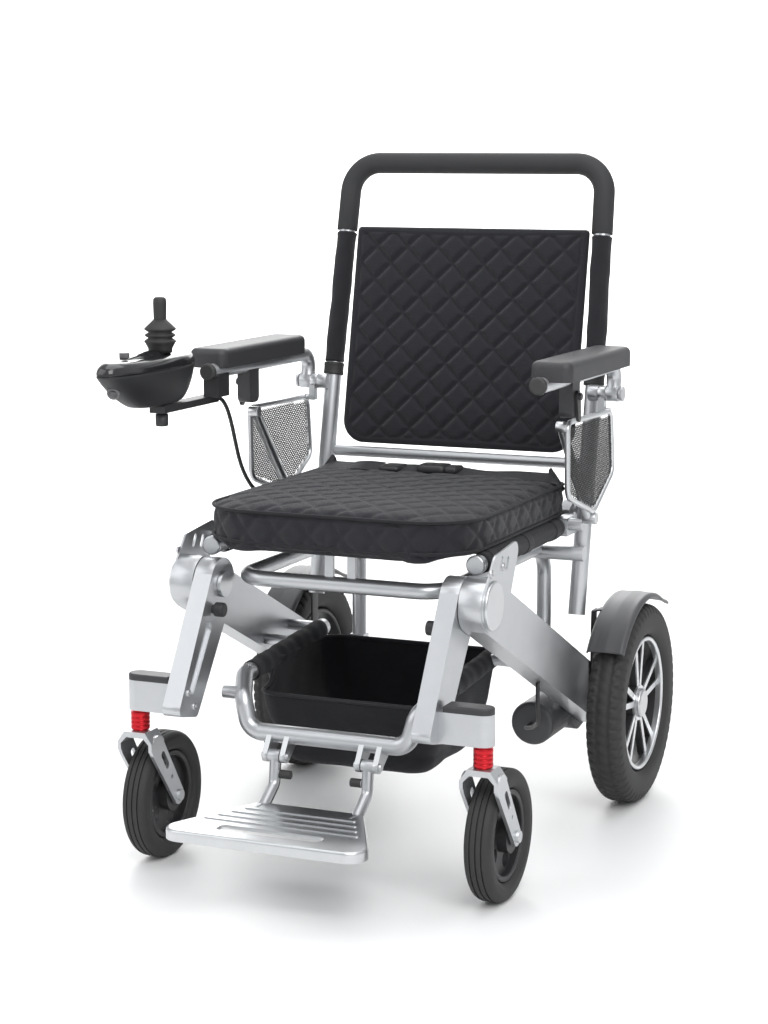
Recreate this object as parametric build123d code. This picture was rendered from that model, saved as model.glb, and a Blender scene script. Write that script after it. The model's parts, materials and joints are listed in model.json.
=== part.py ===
from build123d import *
import os
from math import cos, degrees, radians, sin, sqrt, tan

# Folding power wheelchair, millimetres. +X is the user's left, +Y backwards, +Z up, floor at Z = 0.
# Left and right pieces are mirrored about the plane X = 0.

# ---- wheels ----
REAR_R = 152.0
REAR_IN = 245.0
REAR_OUT = 300.0
REAR_RIM_R = 102.0
REAR_AXLE_Y = 309.0
SHAFT_R = 10.0
CASTER_R = 89.0
CASTER_W = 38.0
CASTER_X = 252.0
CASTER_AXLE_Y = -216.0
STEM_Y = -276.0
TREAD_GROOVE = 2.0

# ---- front pivot, rear arms and legs ----
HUB_Y = -188.0
HUB_Z = 390.0
HUB_R = 37.5
HUB_PIN_R = 11.0
RUN_GAP = 0.05
SIDE_GAP = 0.3
ARM_IN = 196.0
ARM_OUT = 228.0
ARM_WALL = 3.0
EAR_T = 3.0
LEG_IN = 168.0
LEG_OUT = 195.0
LEG_FOOT_FRONT = (-308.0, 238.0)
LEG_FOOT_BACK = (-272.0, 230.0)
LEG_FOOT_R = 10.0
BARREL_R = 15.0
CASTER_ARM_Z = (225.0, 267.0)
ARM_CAP_T = 9.0

# ---- seat ----
SEAT_TUBE_X = 197.0
SEAT_TUBE_Z = 438.0
SEAT_TUBE_R = 12.5
TUBE_WALL = 2.0
SEAT_FRONT = -160.0
SEAT_REAR = 222.0
SLING_T = 1.5
CUSHION_HALF = 200.0
CUSHION_FRONT = -215.0
CUSHION_BACK = 213.0
CUSHION_T = 53.0
LOOP_X = 152.0
LOOP_Z = 398.0
LOOP_FRONT = -170.0
LOOP_REAR = 247.0
LOOP_R = 11.0
STOP_Z = 393.0

# ---- footplate carrier and basket ----
RAIL_X = 150.0
RAIL_R = 12.5
RAIL_REAR = (105.0, 274.0)
RAIL_FRONT = (-158.0, 257.0)
U_TOP = (130.0, -204.0, 236.0)
U_LOW = (118.0, -208.0, 191.0)
FOOT_HINGE = (-228.0, 165.0)
FOOT_ARM_X = 69.0
FOOT_ARM_R = 8.0
PLATE_Z = (94.0, 109.0)
PLATE_FRONT = -428.0
PLATE_BACK = -262.0
PLATE_HALF_FRONT = 158.0
PLATE_HALF_BACK = 78.0
BASKET_Z = (122.0, 262.0)
BASKET_CORNER = 28.0
BASKET_TAPER = 7.0
FRONT_DIP = 34.0
DIP_SETBACK = 60.0
BASKET_Y = (-146.0, 96.0)
BASKET_HALF = 136.0
CLOTH_T = 4.0

# ---- back ----
BACK_PIVOT = (250.0, 455.0)
RECLINE = 11.31
BACK_X = 213.0
BACK_TOP_X = 206.0
BACK_R = 12.7
BACK_LOW_Z = 300.0
BACK_TOP_Z = 962.0
PIVOT_PIN_R = 6.0
SOCKET_R = 10.2
SOCKET_DEPTH = 60.0
SLEEVE_Z = (655.0, 855.0)
GRIP_R = 16.0
PANEL_HALF = 189.0
PANEL_Z = (534.0, 864.0)
PANEL_T = 20.0

# ---- armrests and side guards ----
ARM_PIVOT = (267.0, 627.0)
ARM_PIVOT_PIN_R = 7.0
REST_X = 249.0
REST_R = 11.0
REST_Z = 670.0
REST_FRONT = -66.0
PAD_X = (230.0, 290.0)
PAD_Y = (-53.0, 229.0)
PAD_Z = (674.0, 702.0)
POST_Y = (46.0, 78.0)
POST_LOW = 614.0
GUARD_X = 247.5
GUARD_ROD_R = 4.0
STRUT_X = 239.0
STRUT_R = 6.8
STRUT_TOP = (62.0, 600.0)
STRUT_LOW = (188.0, 452.0)

# ---- joystick pod (user's right) ----
POD_X = -270.0
POD_Y = (-337.0, -80.0)
POD_HALF = 29.5
POD_Z = (635.0, 712.0)
POD_TUCK = 12.0
POD_PIVOT_Y = -176.0
STICK_Y = -170.0
GIMBAL_Z = 700.0
BOOT_BALL_R = 18.0
SOCKET_HOLE_R = 6.0
SOCKET_HOLE_DEPTH = 12.0
SOCKET_HOLE_Z = 662.0
CABLE_R = 3.0

# the origin is under the middle of the overall length
ORIGIN_Y = (PLATE_FRONT + REAR_AXLE_Y + REAR_R) / 2


# ---- small shape helpers ----
def rod_x(r, x0, x1, y, z):
    """Round bar along X."""
    return Pos((x0 + x1) / 2, y, z) * Rot(0, 90, 0) * Cylinder(r, abs(x1 - x0))


def rod_y(r, y0, y1, x, z):
    """Round bar along Y."""
    return Pos(x, (y0 + y1) / 2, z) * Rot(90, 0, 0) * Cylinder(r, abs(y1 - y0))


def rod_z(r, z0, z1, x, y):
    """Round bar along Z."""
    return Pos(x, y, (z0 + z1) / 2) * Cylinder(r, abs(z1 - z0))


def block(xs, ys, zs):
    """Box between two values on each axis."""
    size = [abs(span[1] - span[0]) for span in (xs, ys, zs)]
    mid = [(span[0] + span[1]) / 2 for span in (xs, ys, zs)]
    return Pos(*mid) * Box(*size)


def slab_x(sketch, x0, x1):
    """Side outline, drawn as (y, z), made solid from x0 to x1."""
    plane = Plane(origin=(x0, 0, 0), x_dir=(0, 1, 0), z_dir=(1, 0, 0))
    return extrude(plane * sketch, amount=x1 - x0)


def hull_of(discs):
    """Outline round several discs given as (y, z, radius)."""
    edges = []
    for y, z, r in discs:
        edges += (Pos(y, z) * Circle(r)).edges()
    return make_hull(edges)


def bent_bar(points, radii, r, bore=0.0):
    """Bar or tube along straight runs joined by tangent bends."""
    path = FilletPolyline(*points, radius=radii)
    start = Plane(origin=path @ 0, z_dir=path % 0)
    bar = sweep(start * Circle(r), path=path)
    if bore > 0:
        bar -= sweep(start * Circle(bore), path=path)
    return bar


def mirrored(shape):
    """The same piece on the other side of the chair."""
    return mirror(shape, about=Plane.YZ)


def both(shape):
    """A left piece and its mirrored right piece."""
    return [shape, mirrored(shape)]


def on_line(start, end, y):
    """Height at y on the line through two (y, z) points."""
    return start[1] + (end[1] - start[1]) * (y - start[0]) / (end[0] - start[0])


def arm_mid(y):
    """Height of the rear arm's centre line at y."""
    return on_line((HUB_Y, HUB_Z), (REAR_AXLE_Y, REAR_R), y)


def back_y(z):
    """Where the reclined back tube's axis is at height z."""
    return BACK_PIVOT[0] + (z - BACK_PIVOT[1]) * tan(radians(RECLINE))


# ---- frame ----
def rear_arm():
    """Hollow box beam from the front hub to the drive wheel, with its ear plate."""
    outline = hull_of([(HUB_Y, HUB_Z, HUB_R), (REAR_AXLE_Y, REAR_R, HUB_R)])
    beam = slab_x(outline, ARM_IN, ARM_OUT)
    front = HUB_Y + HUB_R + 35
    rear = REAR_AXLE_Y - HUB_R - 50
    cavity = hull_of(
        [(front, arm_mid(front), HUB_R - 6), (rear, arm_mid(rear), HUB_R - 6)]
    )
    beam -= slab_x(cavity, ARM_IN + ARM_WALL, ARM_OUT - ARM_WALL)
    ear = hull_of(
        [
            (HUB_Y, HUB_Z, HUB_R - 2),
            (HUB_Y + 16, HUB_Z + 50, 16),
            (HUB_Y + 84, HUB_Z + 60, 13),
            (HUB_Y + 62, HUB_Z + 8, 8),
        ]
    )
    plate = slab_x(ear, ARM_OUT, ARM_OUT + EAR_T)
    for dy, dz, tilt in ((32, 52, 62), (55, 48, 62)):
        slot = Pos(HUB_Y + dy, HUB_Z + dz) * Rot(0, 0, tilt) * SlotOverall(20, 7)
        plate -= slab_x(slot, ARM_OUT - 1, ARM_OUT + EAR_T + 1)
    arm = beam + plate
    arm -= rod_x(HUB_PIN_R, ARM_IN - 1, ARM_OUT + EAR_T + 1, HUB_Y, HUB_Z)
    arm -= rod_x(SHAFT_R + RUN_GAP, ARM_IN - 1, ARM_OUT + 1, REAR_AXLE_Y, REAR_R)
    return arm


def hub_drum():
    """Pivot pin with the outer disc cap and the inner washer head."""
    face = ARM_OUT + EAR_T
    pin = rod_x(HUB_PIN_R, LEG_IN - 2, face, HUB_Y, HUB_Z)
    cap = rod_x(HUB_R - 4, face, face + 4, HUB_Y, HUB_Z)
    cap = fillet(cap.faces().sort_by(Axis.X)[-1].edges(), 2.5)
    head = rod_x(18, LEG_IN - 6, LEG_IN - SIDE_GAP, HUB_Y, HUB_Z)
    return pin + cap + head


def battery_pack():
    """Slim pack of cells inside the arm's hollow."""
    mid = (HUB_Y + REAR_AXLE_Y) / 2
    slope = degrees(-(HUB_Z - REAR_R) / (REAR_AXLE_Y - HUB_Y))
    tilt = Rot(slope * 0.925, 0, 0)
    xs = (ARM_IN + ARM_WALL + 1, ARM_OUT - ARM_WALL - 1)
    pack = Box(xs[1] - xs[0], 230, 2 * (HUB_R - 12))
    return Pos(sum(xs) / 2, mid, arm_mid(mid)) * tilt * pack


def seat_tube():
    """Seat side tube with its black end cap and the front spacer to the ear plate."""
    tube = rod_y(SEAT_TUBE_R, SEAT_FRONT, SEAT_REAR, SEAT_TUBE_X, SEAT_TUBE_Z)
    tube -= rod_y(SEAT_TUBE_R - TUBE_WALL, SEAT_FRONT, SEAT_REAR, SEAT_TUBE_X, SEAT_TUBE_Z)
    spacer_y = HUB_Y + 88
    spacer = rod_x(6, SEAT_TUBE_X, ARM_OUT, spacer_y, SEAT_TUBE_Z + 2)
    spacer -= rod_y(SEAT_TUBE_R - TUBE_WALL, SEAT_FRONT, SEAT_REAR, SEAT_TUBE_X, SEAT_TUBE_Z)
    tube += spacer
    cap = rod_y(SEAT_TUBE_R + 1, SEAT_FRONT - 7, SEAT_FRONT, SEAT_TUBE_X, SEAT_TUBE_Z)
    cap = fillet(cap.faces().sort_by(Axis.Y)[0].edges(), 3)
    return [tube, cap]


def seat_sling():
    """Fabric panel that wraps both seat tubes and carries the cushion."""
    ys = (HUB_Y + 112, SEAT_REAR - 48)
    top = SEAT_TUBE_Z + SEAT_TUBE_R
    panel = block((-SEAT_TUBE_X, SEAT_TUBE_X), (SEAT_FRONT + 16, ys[1]), (top, top + SLING_T))
    for side in (-1, 1):
        panel += rod_y(SEAT_TUBE_R + SLING_T, ys[0], ys[1], side * SEAT_TUBE_X, SEAT_TUBE_Z)
        panel -= rod_y(SEAT_TUBE_R, ys[0] - 1, ys[1] + 1, side * SEAT_TUBE_X, SEAT_TUBE_Z)
    return panel


def seat_cushion():
    """Box cushion with rounded front corners."""
    low = SEAT_TUBE_Z + SEAT_TUBE_R + SLING_T + SIDE_GAP
    body = block((-CUSHION_HALF, CUSHION_HALF), (CUSHION_FRONT, CUSHION_BACK), (low, low + CUSHION_T))
    uprights = body.edges().filter_by(Axis.Z)
    body = fillet(uprights.group_by(Axis.Y)[0], 62)
    uprights = body.edges().filter_by(Axis.Z).group_by(Axis.Y)[-1]
    body = fillet(uprights, 22)
    return fillet(body.faces().sort_by(Axis.Z)[-1].edges(), 8)


def seat_loop():
    """Bent tube under the seat, its feet on the rear arms, the upright tabs and the back's stop tube."""
    points = []
    for side in (-1, 1):
        leg = [(side * LOOP_X, LOOP_REAR, 232), (side * LOOP_X, LOOP_REAR, LOOP_Z)]
        leg += [(side * LOOP_X, LOOP_FRONT, LOOP_Z)]
        points += leg if side < 0 else leg[::-1]
    loop = bent_bar(points, [48, 40, 40, 48], LOOP_R)
    stop_y = back_y(STOP_Z) - (BACK_R + SIDE_GAP) / cos(radians(RECLINE)) - LOOP_R
    loop += rod_x(LOOP_R, -BACK_X - 13, BACK_X + 13, stop_y, STOP_Z)
    for x in (-13, 20):
        tab_top = SEAT_TUBE_Z + SEAT_TUBE_R
        loop += block((x - 6, x + 6), (LOOP_FRONT - 3, LOOP_FRONT + 3), (LOOP_Z + 6, tab_top))
    top = arm_mid(LOOP_REAR) + HUB_R
    for side in (-1, 1):
        inner = side * (LOOP_X - LOOP_R)
        ys = (LOOP_REAR - LOOP_R, LOOP_REAR + LOOP_R)
        loop += block((inner, side * (LOOP_X + LOOP_R)), ys, (top - 24, 236))
        loop += block((inner, side * ARM_IN), ys, (top - 24, top - 6))
    return loop


def seat_bracket():
    """Cast block on the seat tube's rear end with the back's pivot pin and the strut stub."""
    xs = (SEAT_TUBE_X - 14, SEAT_TUBE_X + 13.5)
    body = block(xs, (176, SEAT_REAR), (SEAT_TUBE_Z - 14, SEAT_TUBE_Z + 13))
    body -= rod_y(SEAT_TUBE_R, 170, SEAT_REAR + 1, SEAT_TUBE_X, SEAT_TUBE_Z)
    ear_out = BACK_X - BACK_R - 2
    ear = hull_of([(214, SEAT_TUBE_Z, 12), (BACK_PIVOT[0], BACK_PIVOT[1], 14)])
    body += slab_x(ear, xs[0], ear_out) - block((xs[0], ear_out + 1), (190, SEAT_REAR), (400, 500))
    pin_end = BACK_X + BACK_R + 2.8
    body += rod_x(PIVOT_PIN_R, xs[0] + 2, pin_end, *BACK_PIVOT)
    body += rod_x(9, BACK_X + BACK_R + 0.5, pin_end, *BACK_PIVOT)
    stub_end = STRUT_X - STRUT_R - 1
    stub = rod_x(9, xs[1] - 2, stub_end, 188, SEAT_TUBE_Z + 3)
    bracket = body + stub
    return bracket - rod_y(SEAT_TUBE_R, 170, SEAT_REAR + 0.2, SEAT_TUBE_X, SEAT_TUBE_Z)


def carrier_tube():
    """Front U and basket rails in one bent tube, with stubs to the rear arms and beside the legs."""
    rail = [(RAIL_X, *RAIL_REAR), (RAIL_X, *RAIL_FRONT), U_TOP, U_LOW]
    other = [(-x, y, z) for x, y, z in rail[::-1]]
    tube = bent_bar(rail + other, [36, 20, 24, 24, 20, 36], RAIL_R)
    slope = (RAIL_REAR[1] - RAIL_FRONT[1]) / (RAIL_REAR[0] - RAIL_FRONT[0])
    for y in (4.0, 88.0):
        z = RAIL_FRONT[1] + slope * (y - RAIL_FRONT[0]) + 4
        tube += rod_x(8, RAIL_X, ARM_IN, y, z)
        tube += rod_x(8, -RAIL_X, -ARM_IN, y, z)
    for side in (-1, 1):
        tube += rod_x(9, side * (U_TOP[0] + 4), side * (LEG_IN - 6), U_TOP[1] + 6, U_TOP[2] + 4)
    return tube


def footplate_hinge():
    """Clevis under the front U and its pin."""
    y, z = FOOT_HINGE
    ears = []
    for x0, x1 in ((FOOT_ARM_X - 17, FOOT_ARM_X - 9.5), (FOOT_ARM_X + 9.5, FOOT_ARM_X + 17)):
        outline = hull_of([(y, z, 9), (U_LOW[1], U_LOW[2] - 6, 14)])
        ear = slab_x(outline, x0, x1) - rod_x(RAIL_R, x0 - 1, x1 + 1, U_LOW[1], U_LOW[2])
        ears.append(ear - rod_x(5, x0 - 1, x1 + 1, y, z))
    pin = rod_x(5, FOOT_ARM_X - 20, FOOT_ARM_X + 20, y, z)
    return ears + [pin]


def basket():
    """Open fabric bin hung between the rails, with a lower front edge."""
    front, rear = BASKET_Y
    low, high = BASKET_Z
    mid = (front + rear) / 2
    rim = Plane(origin=(0, mid, high))
    outline = RectangleRounded(2 * BASKET_HALF, rear - front, BASKET_CORNER)
    outer = extrude(rim * outline, amount=low - high, taper=BASKET_TAPER)
    inner_half = BASKET_HALF - CLOTH_T
    inner_outline = RectangleRounded(2 * inner_half, rear - front - 2 * CLOTH_T, BASKET_CORNER - 2)
    inner = extrude(rim * inner_outline, amount=low + CLOTH_T - high, taper=BASKET_TAPER)
    dip = block((-BASKET_HALF, BASKET_HALF), (front - 1, mid - DIP_SETBACK), (high - FRONT_DIP, high + 1))
    return outer - inner - dip


def drive_motor():
    """Gearbox on the inner face of the arm with the motor barrel ahead of it."""
    xs = (140.0, ARM_IN)
    gearbox = slab_x(hull_of([(REAR_AXLE_Y, REAR_R, 40), (REAR_AXLE_Y - 22, REAR_R - 10, 34)]), *xs)
    gearbox -= rod_x(SHAFT_R + RUN_GAP, ARM_IN - 20, ARM_IN + 1, REAR_AXLE_Y, REAR_R)
    barrel = rod_y(33, REAR_AXLE_Y - 142, REAR_AXLE_Y - 30, ARM_IN - 34, REAR_R - 12)
    barrel = fillet(barrel.faces().sort_by(Axis.Y)[0].edges(), 6)
    return gearbox + barrel


def freewheel_lever():
    """Small lever on the gearbox's inner face that frees the wheel."""
    x1 = 140.0 - SIDE_GAP
    boss = rod_x(8, x1 - 8, x1, REAR_AXLE_Y, REAR_R + 18)
    outline = hull_of([(REAR_AXLE_Y, REAR_R + 18, 5), (REAR_AXLE_Y - 32, REAR_R + 34, 5)])
    arm = slab_x(outline, x1 - 8, x1 - 3)
    return boss + arm


def mudguard():
    """Curved guard over the drive wheel, on a stay from the arm."""
    r_in = REAR_R + 14
    xs = (REAR_IN - 3, REAR_OUT - 0.5)
    ring = slab_x(Pos(REAR_AXLE_Y, REAR_R) * (Circle(r_in + 3) - Circle(r_in)), *xs)
    reach = 260
    wedge = make_face(
        Polyline(
            (0, 0),
            (reach * cos(radians(57)), reach * sin(radians(57))),
            (0, reach * 1.3),
            (reach * cos(radians(140)), reach * sin(radians(140))),
            (0, 0),
        )
    )
    guard = ring & slab_x(Pos(REAR_AXLE_Y, REAR_R) * wedge, *xs)
    stay_y = REAR_AXLE_Y - 60
    low = arm_mid(stay_y) + HUB_R - 16
    top = REAR_R + sqrt(r_in**2 - 60**2) + 1
    stay = block((ARM_OUT, ARM_OUT + 5), (stay_y - 12, stay_y + 12), (low - 14, top + 2))
    stay += block((ARM_OUT, REAR_IN), (stay_y - 12, stay_y + 12), (top - 3, top + 2))
    return guard + stay


def motor_cable():
    """Lead from the underside of the arm to the motor's front end."""
    start_y = HUB_Y + 238
    low = arm_mid(start_y) - HUB_R / cos(radians(25.6))
    points = [
        (212, start_y, low - 1.6),
        (212, start_y, low - 30),
        (206, start_y + 22, low - 66),
        (184, start_y + 58, low - 84),
        (162, REAR_AXLE_Y - 170, REAR_R - 12),
        (162, REAR_AXLE_Y - 142, REAR_R - 12),
    ]
    return bent_bar(points, [30, 40, 40, 26], CABLE_R)


def seat_belt():
    """Webbing across the back of the cushion with its buckle and slider."""
    top = SEAT_TUBE_Z + SEAT_TUBE_R + SLING_T + SIDE_GAP + CUSHION_T
    strap = block((-190, 190), (150, 196), (top + 0.3, top + 2.8))
    buckle = block((-26, 44), (152, 194), (top + 2.8, top + 16))
    slider = block((-80, -46), (150, 196), (top + 2.8, top + 10))
    return [strap, fillet(buckle.edges().filter_by(Axis.Z), 6), slider]


# ---- front legs and casters ----
def front_leg():
    """Tapered leg from the hub down to the caster arm, with a groove along its inner face."""
    feet = [(*LEG_FOOT_FRONT, LEG_FOOT_R), (*LEG_FOOT_BACK, LEG_FOOT_R)]
    outline = hull_of([(HUB_Y, HUB_Z, HUB_R - 1)] + feet)
    leg = slab_x(outline, LEG_IN, LEG_OUT)
    leg -= rod_x(HUB_PIN_R + RUN_GAP, LEG_IN - 1, LEG_OUT + 1, HUB_Y, HUB_Z)
    groove = hull_of([(HUB_Y - 44, HUB_Z - 54, 9), (LEG_FOOT_BACK[0] - 10, LEG_FOOT_BACK[1] + 30, 7)])
    leg -= slab_x(groove, LEG_IN - 1, LEG_IN + 4)
    knob_y, knob_z = lock_place()
    leg -= rod_x(6.05, LEG_IN - 1, LEG_IN + 14, knob_y, knob_z)
    return leg


def lock_place():
    """Centre of the fold lock on the leg's inner face, as (y, z)."""
    return HUB_Y - 30, HUB_Z - 30


def lock_knob():
    """Pull knob whose plunger locks the leg."""
    y, z = lock_place()
    plunger = rod_x(6, LEG_IN - 4, LEG_IN + 10, y, z)
    knob = rod_x(10, LEG_IN - 18, LEG_IN - 4, y, z)
    return plunger + fillet(knob.edges(), 2)


def caster_arm():
    """Short box arm from the leg out to the caster's stem, with its cap."""
    low, high = CASTER_ARM_Z
    arm = block((LEG_OUT, CASTER_X), (STEM_Y - BARREL_R, STEM_Y + BARREL_R), (low, high))
    arm += rod_z(BARREL_R, low, high, CASTER_X, STEM_Y)
    arm -= rod_z(8 + RUN_GAP, low - 1, high - 4, CASTER_X, STEM_Y)
    cap_top = high + ARM_CAP_T
    cap_base = block((LEG_OUT + 6, CASTER_X), (STEM_Y - BARREL_R, STEM_Y + BARREL_R), (high, cap_top))
    cap = cap_base + rod_z(BARREL_R, high, high + ARM_CAP_T, CASTER_X, STEM_Y)
    cap = fillet(cap.faces().sort_by(Axis.Z)[-1].edges(), 3)
    return [arm, cap]


def caster_fork():
    """Fork crown, its two slotted plates, the stem and the wheel bolt."""
    half = CASTER_W / 2 + 2.5
    wall = 5.0
    crown = Plane(origin=(CASTER_X, STEM_Y + 18, 0), x_dir=(1, 0, 0), z_dir=(0, -1, 0)) * make_face(
        Polyline(
            (-16, 195),
            (16, 195),
            (half + wall, 180),
            (half + wall, 168),
            (half, 168),
            (half, 178),
            (13, 187),
            (-13, 187),
            (-half, 178),
            (-half, 168),
            (-half - wall, 168),
            (-half - wall, 180),
            (-16, 195),
        )
    )
    fork = extrude(crown, amount=36)
    outline = hull_of([(STEM_Y + 1, 171, 17), (CASTER_AXLE_Y, CASTER_R, 13)])
    slot = hull_of([(STEM_Y + 15, 158, 5), (STEM_Y + 27, 140, 5)])
    for x0 in (CASTER_X - half - wall, CASTER_X + half):
        plate = slab_x(outline, x0, x0 + wall) - slab_x(slot, x0 - 1, x0 + wall + 1)
        plate -= rod_x(3, x0 - 1, x0 + wall + 1, STEM_Y + 40, 121)
        fork += plate
    fork -= block((CASTER_X - half - wall, CASTER_X + half + wall), (STEM_Y - 30, STEM_Y + 30), (180, 200)) - (
        block((CASTER_X - half - wall, CASTER_X + half + wall), (STEM_Y - 18, STEM_Y + 18), (180, 200))
    )
    fork += rod_z(8, 190, CASTER_ARM_Z[1] - 5, CASTER_X, STEM_Y)
    ends = (CASTER_X - half - wall - 4, CASTER_X + half + wall + 4)
    fork += rod_x(5, *ends, CASTER_AXLE_Y, CASTER_R)
    for x0, x1 in ((ends[0], ends[0] + 4), (ends[1] - 4, ends[1])):
        fork += rod_x(8, x0, x1, CASTER_AXLE_Y, CASTER_R)
    return fork


def stem_bush():
    """Coloured bush between the fork and the caster arm."""
    low = 195.0
    high = CASTER_ARM_Z[0] - SIDE_GAP
    bush = rod_z(13, low + 2, high - 3, CASTER_X, STEM_Y) + rod_z(10.5, low, high, CASTER_X, STEM_Y)
    for z in (low + 7, low + 13, low + 19):
        bush -= rod_z(14, z, z + 1.4, CASTER_X, STEM_Y) - rod_z(12, z, z + 1.4, CASTER_X, STEM_Y)
    return bush - rod_z(8, low - 1, high + 1, CASTER_X, STEM_Y)


def ring_profile(r_in, r_out, half, corner):
    """Half section of a wheel ring, drawn as (radius, width)."""
    mid = (r_in + r_out) / 2
    return Pos(mid, 0) * RectangleRounded(r_out - r_in, 2 * half, corner)


def spun(profile, x, y, z):
    """Wheel ring turned about an X axis through (y, z), its width centred on x."""
    plane = Plane(origin=(x, y, z), x_dir=(0, 0, 1), z_dir=(0, 1, 0))
    return revolve(plane * profile, axis=Axis((x, y, z), (1, 0, 0)))


def caster_tyre():
    """Solid tyre with rounded shoulders and grooves round the tread."""
    profile = ring_profile(62, CASTER_R, CASTER_W / 2, 11)
    for shift in (-8, 0, 8):
        profile -= Pos(CASTER_R, shift) * Rectangle(2 * TREAD_GROOVE, 2)
    return spun(profile, CASTER_X, CASTER_AXLE_Y, CASTER_R)


def caster_hub():
    """Moulded caster hub with five openings, running on the fork's bolt."""
    rim = ring_profile(54, 62, CASTER_W / 2 - 5, 2)
    web = Pos(38, 0) * Rectangle(34, 10)
    bolt_gap = 5 + RUN_GAP
    boss = Pos((bolt_gap + 23) / 2, 0) * Rectangle(23 - bolt_gap, CASTER_W)
    hub = spun(rim + web + boss, CASTER_X, CASTER_AXLE_Y, CASTER_R)
    for step in range(5):
        turn = radians(72 * step)
        y = CASTER_AXLE_Y + 38 * cos(turn)
        z = CASTER_R + 38 * sin(turn)
        hub -= rod_x(11, CASTER_X - 10, CASTER_X + 10, y, z)
    return hub


# ---- drive wheels ----
def rear_tyre():
    """Drive wheel tyre with rounded shoulders."""
    half = (REAR_OUT - REAR_IN) / 2
    profile = ring_profile(REAR_RIM_R, REAR_R, half, 15)
    for shift in (-9, 9):
        profile -= Pos(REAR_R, shift) * Rectangle(2 * TREAD_GROOVE, 3)
    return spun(profile, REAR_IN + half, REAR_AXLE_Y, REAR_R)


def rear_rim():
    """Rim barrel, five pairs of spokes, hub and inner brake drum."""
    mid = (REAR_IN + REAR_OUT) / 2
    barrel = spun(ring_profile(REAR_RIM_R - 7, REAR_RIM_R, 21, 3), mid, REAR_AXLE_Y, REAR_R)
    hub = rod_x(27, REAR_OUT - 34, REAR_OUT - 14, REAR_AXLE_Y, REAR_R)
    drum = rod_x(40, REAR_IN - 9, REAR_OUT - 34, REAR_AXLE_Y, REAR_R)
    rim = barrel + hub + drum
    for step in range(5):
        for lean in (-11, 11):
            turn = 72 * step + lean + 90
            spoke = Pos(62, 0, 0) * Box(74, 12, 9)
            place = Pos(REAR_OUT - 21, REAR_AXLE_Y, REAR_R) * Rot(turn, 0, 0) * Rot(0, 0, 90)
            rim += place * spoke
    return rim - rod_x(SHAFT_R, REAR_IN - 12, REAR_OUT - 14, REAR_AXLE_Y, REAR_R)


def rear_shaft():
    """Drive shaft through the arm into the gearbox, and the outer hub cap."""
    shaft = rod_x(SHAFT_R, ARM_IN - 18, REAR_OUT - 14, REAR_AXLE_Y, REAR_R)
    cap = rod_x(22, REAR_OUT - 14, REAR_OUT - 7, REAR_AXLE_Y, REAR_R)
    cap = fillet(cap.faces().sort_by(Axis.X)[-1].edges(), 4)
    return [shaft, cap]


# ---- footrest ----
def footplate():
    """Tapered tread plate with a rounded rim, raised ribs and a slot behind the front rail."""
    low, high = PLATE_Z
    corners = [
        (-PLATE_HALF_BACK, PLATE_BACK),
        (-PLATE_HALF_FRONT, PLATE_FRONT),
        (PLATE_HALF_FRONT, PLATE_FRONT),
        (PLATE_HALF_BACK, PLATE_BACK),
    ]
    face = make_face(Polyline(*corners, corners[0]))
    front = face.vertices().group_by(Axis.Y)[0]
    rear = face.vertices().group_by(Axis.Y)[-1]
    face = fillet(front, 26)
    face = fillet(face.vertices().group_by(Axis.Y)[-1], 12)
    plate = extrude(Plane.XY.offset(low) * face, amount=high - low)
    plate = fillet(plate.faces().sort_by(Axis.Z)[-1].edges(), 4)
    pocket = offset(face, amount=-14)
    plate -= extrude(Plane.XY.offset(low - 1) * pocket, amount=high - low - 4)
    slot = RectangleRounded(150, 24, 8)
    plate -= Pos(0, PLATE_FRONT + 38, low) * extrude(slot, amount=40, both=True)
    for step in range(4):
        y = PLATE_FRONT + 70 + 20 * step
        half = PLATE_HALF_FRONT - 46 - 10 * step
        rib = extrude(SlotOverall(2 * half, 7), amount=1.6)
        plate += Pos(0, y, high - 0.1) * rib
    return plate


def footplate_arm():
    """Bent arm from the hinge eye to the plate's back edge, with a rubber stop."""
    y, z = FOOT_HINGE
    x = FOOT_ARM_X
    eye = rod_x(9, x - 9.2, x + 9.2, y, z)
    points = [(x, y, z), (x, y - 4, z - 38), (x, PLATE_BACK - 8, PLATE_Z[0] + 7.5)]
    points.append((x, PLATE_BACK - 30, PLATE_Z[0] + 7.5))
    arm = eye + bent_bar(points, [16, 14], FOOT_ARM_R)
    arm -= rod_x(5 + RUN_GAP, x - 10, x + 10, y, z)
    stop = rod_x(6, x - 24, x - FOOT_ARM_R + 1, y - 3, z - 24)
    return arm, stop


def footplate_arms():
    """Both bent arms, cut to meet the plate, and their rubber stops."""
    plate = footplate()
    arm, stop = footplate_arm()
    arm -= plate
    stop -= arm
    arm = max(arm.solids(), key=lambda solid: solid.volume)
    return both(arm) + both(stop)


# ---- back ----
def back_frame():
    """Bent push frame, lower cross tube and the armrest pivots."""
    def at(z, x):
        return (x, back_y(z), z)
    points = [at(BACK_LOW_Z, BACK_X), at(650, BACK_X), at(BACK_TOP_Z, BACK_TOP_X)]
    points += [(-x, y, z) for x, y, z in points[::-1]]
    tube = bent_bar(points, [500, 46, 46, 500], BACK_R)
    tube += rod_x(9, -BACK_X, BACK_X, back_y(520) + 6, 520)
    y, z = ARM_PIVOT
    for side in (-1, 1):
        boss = rod_x(12, side * BACK_X, side * (BACK_X + 15.3), y, z)
        boss += rod_x(ARM_PIVOT_PIN_R, side * BACK_X, side * 262, y, z)
        tube += boss + rod_x(11, side * 261, side * 265, y, z)
        tube -= rod_x(PIVOT_PIN_R + RUN_GAP, side * (BACK_X - 20), side * (BACK_X + 20), *BACK_PIVOT)
    return tube - socket_cut() - mirrored(socket_cut())


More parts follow.
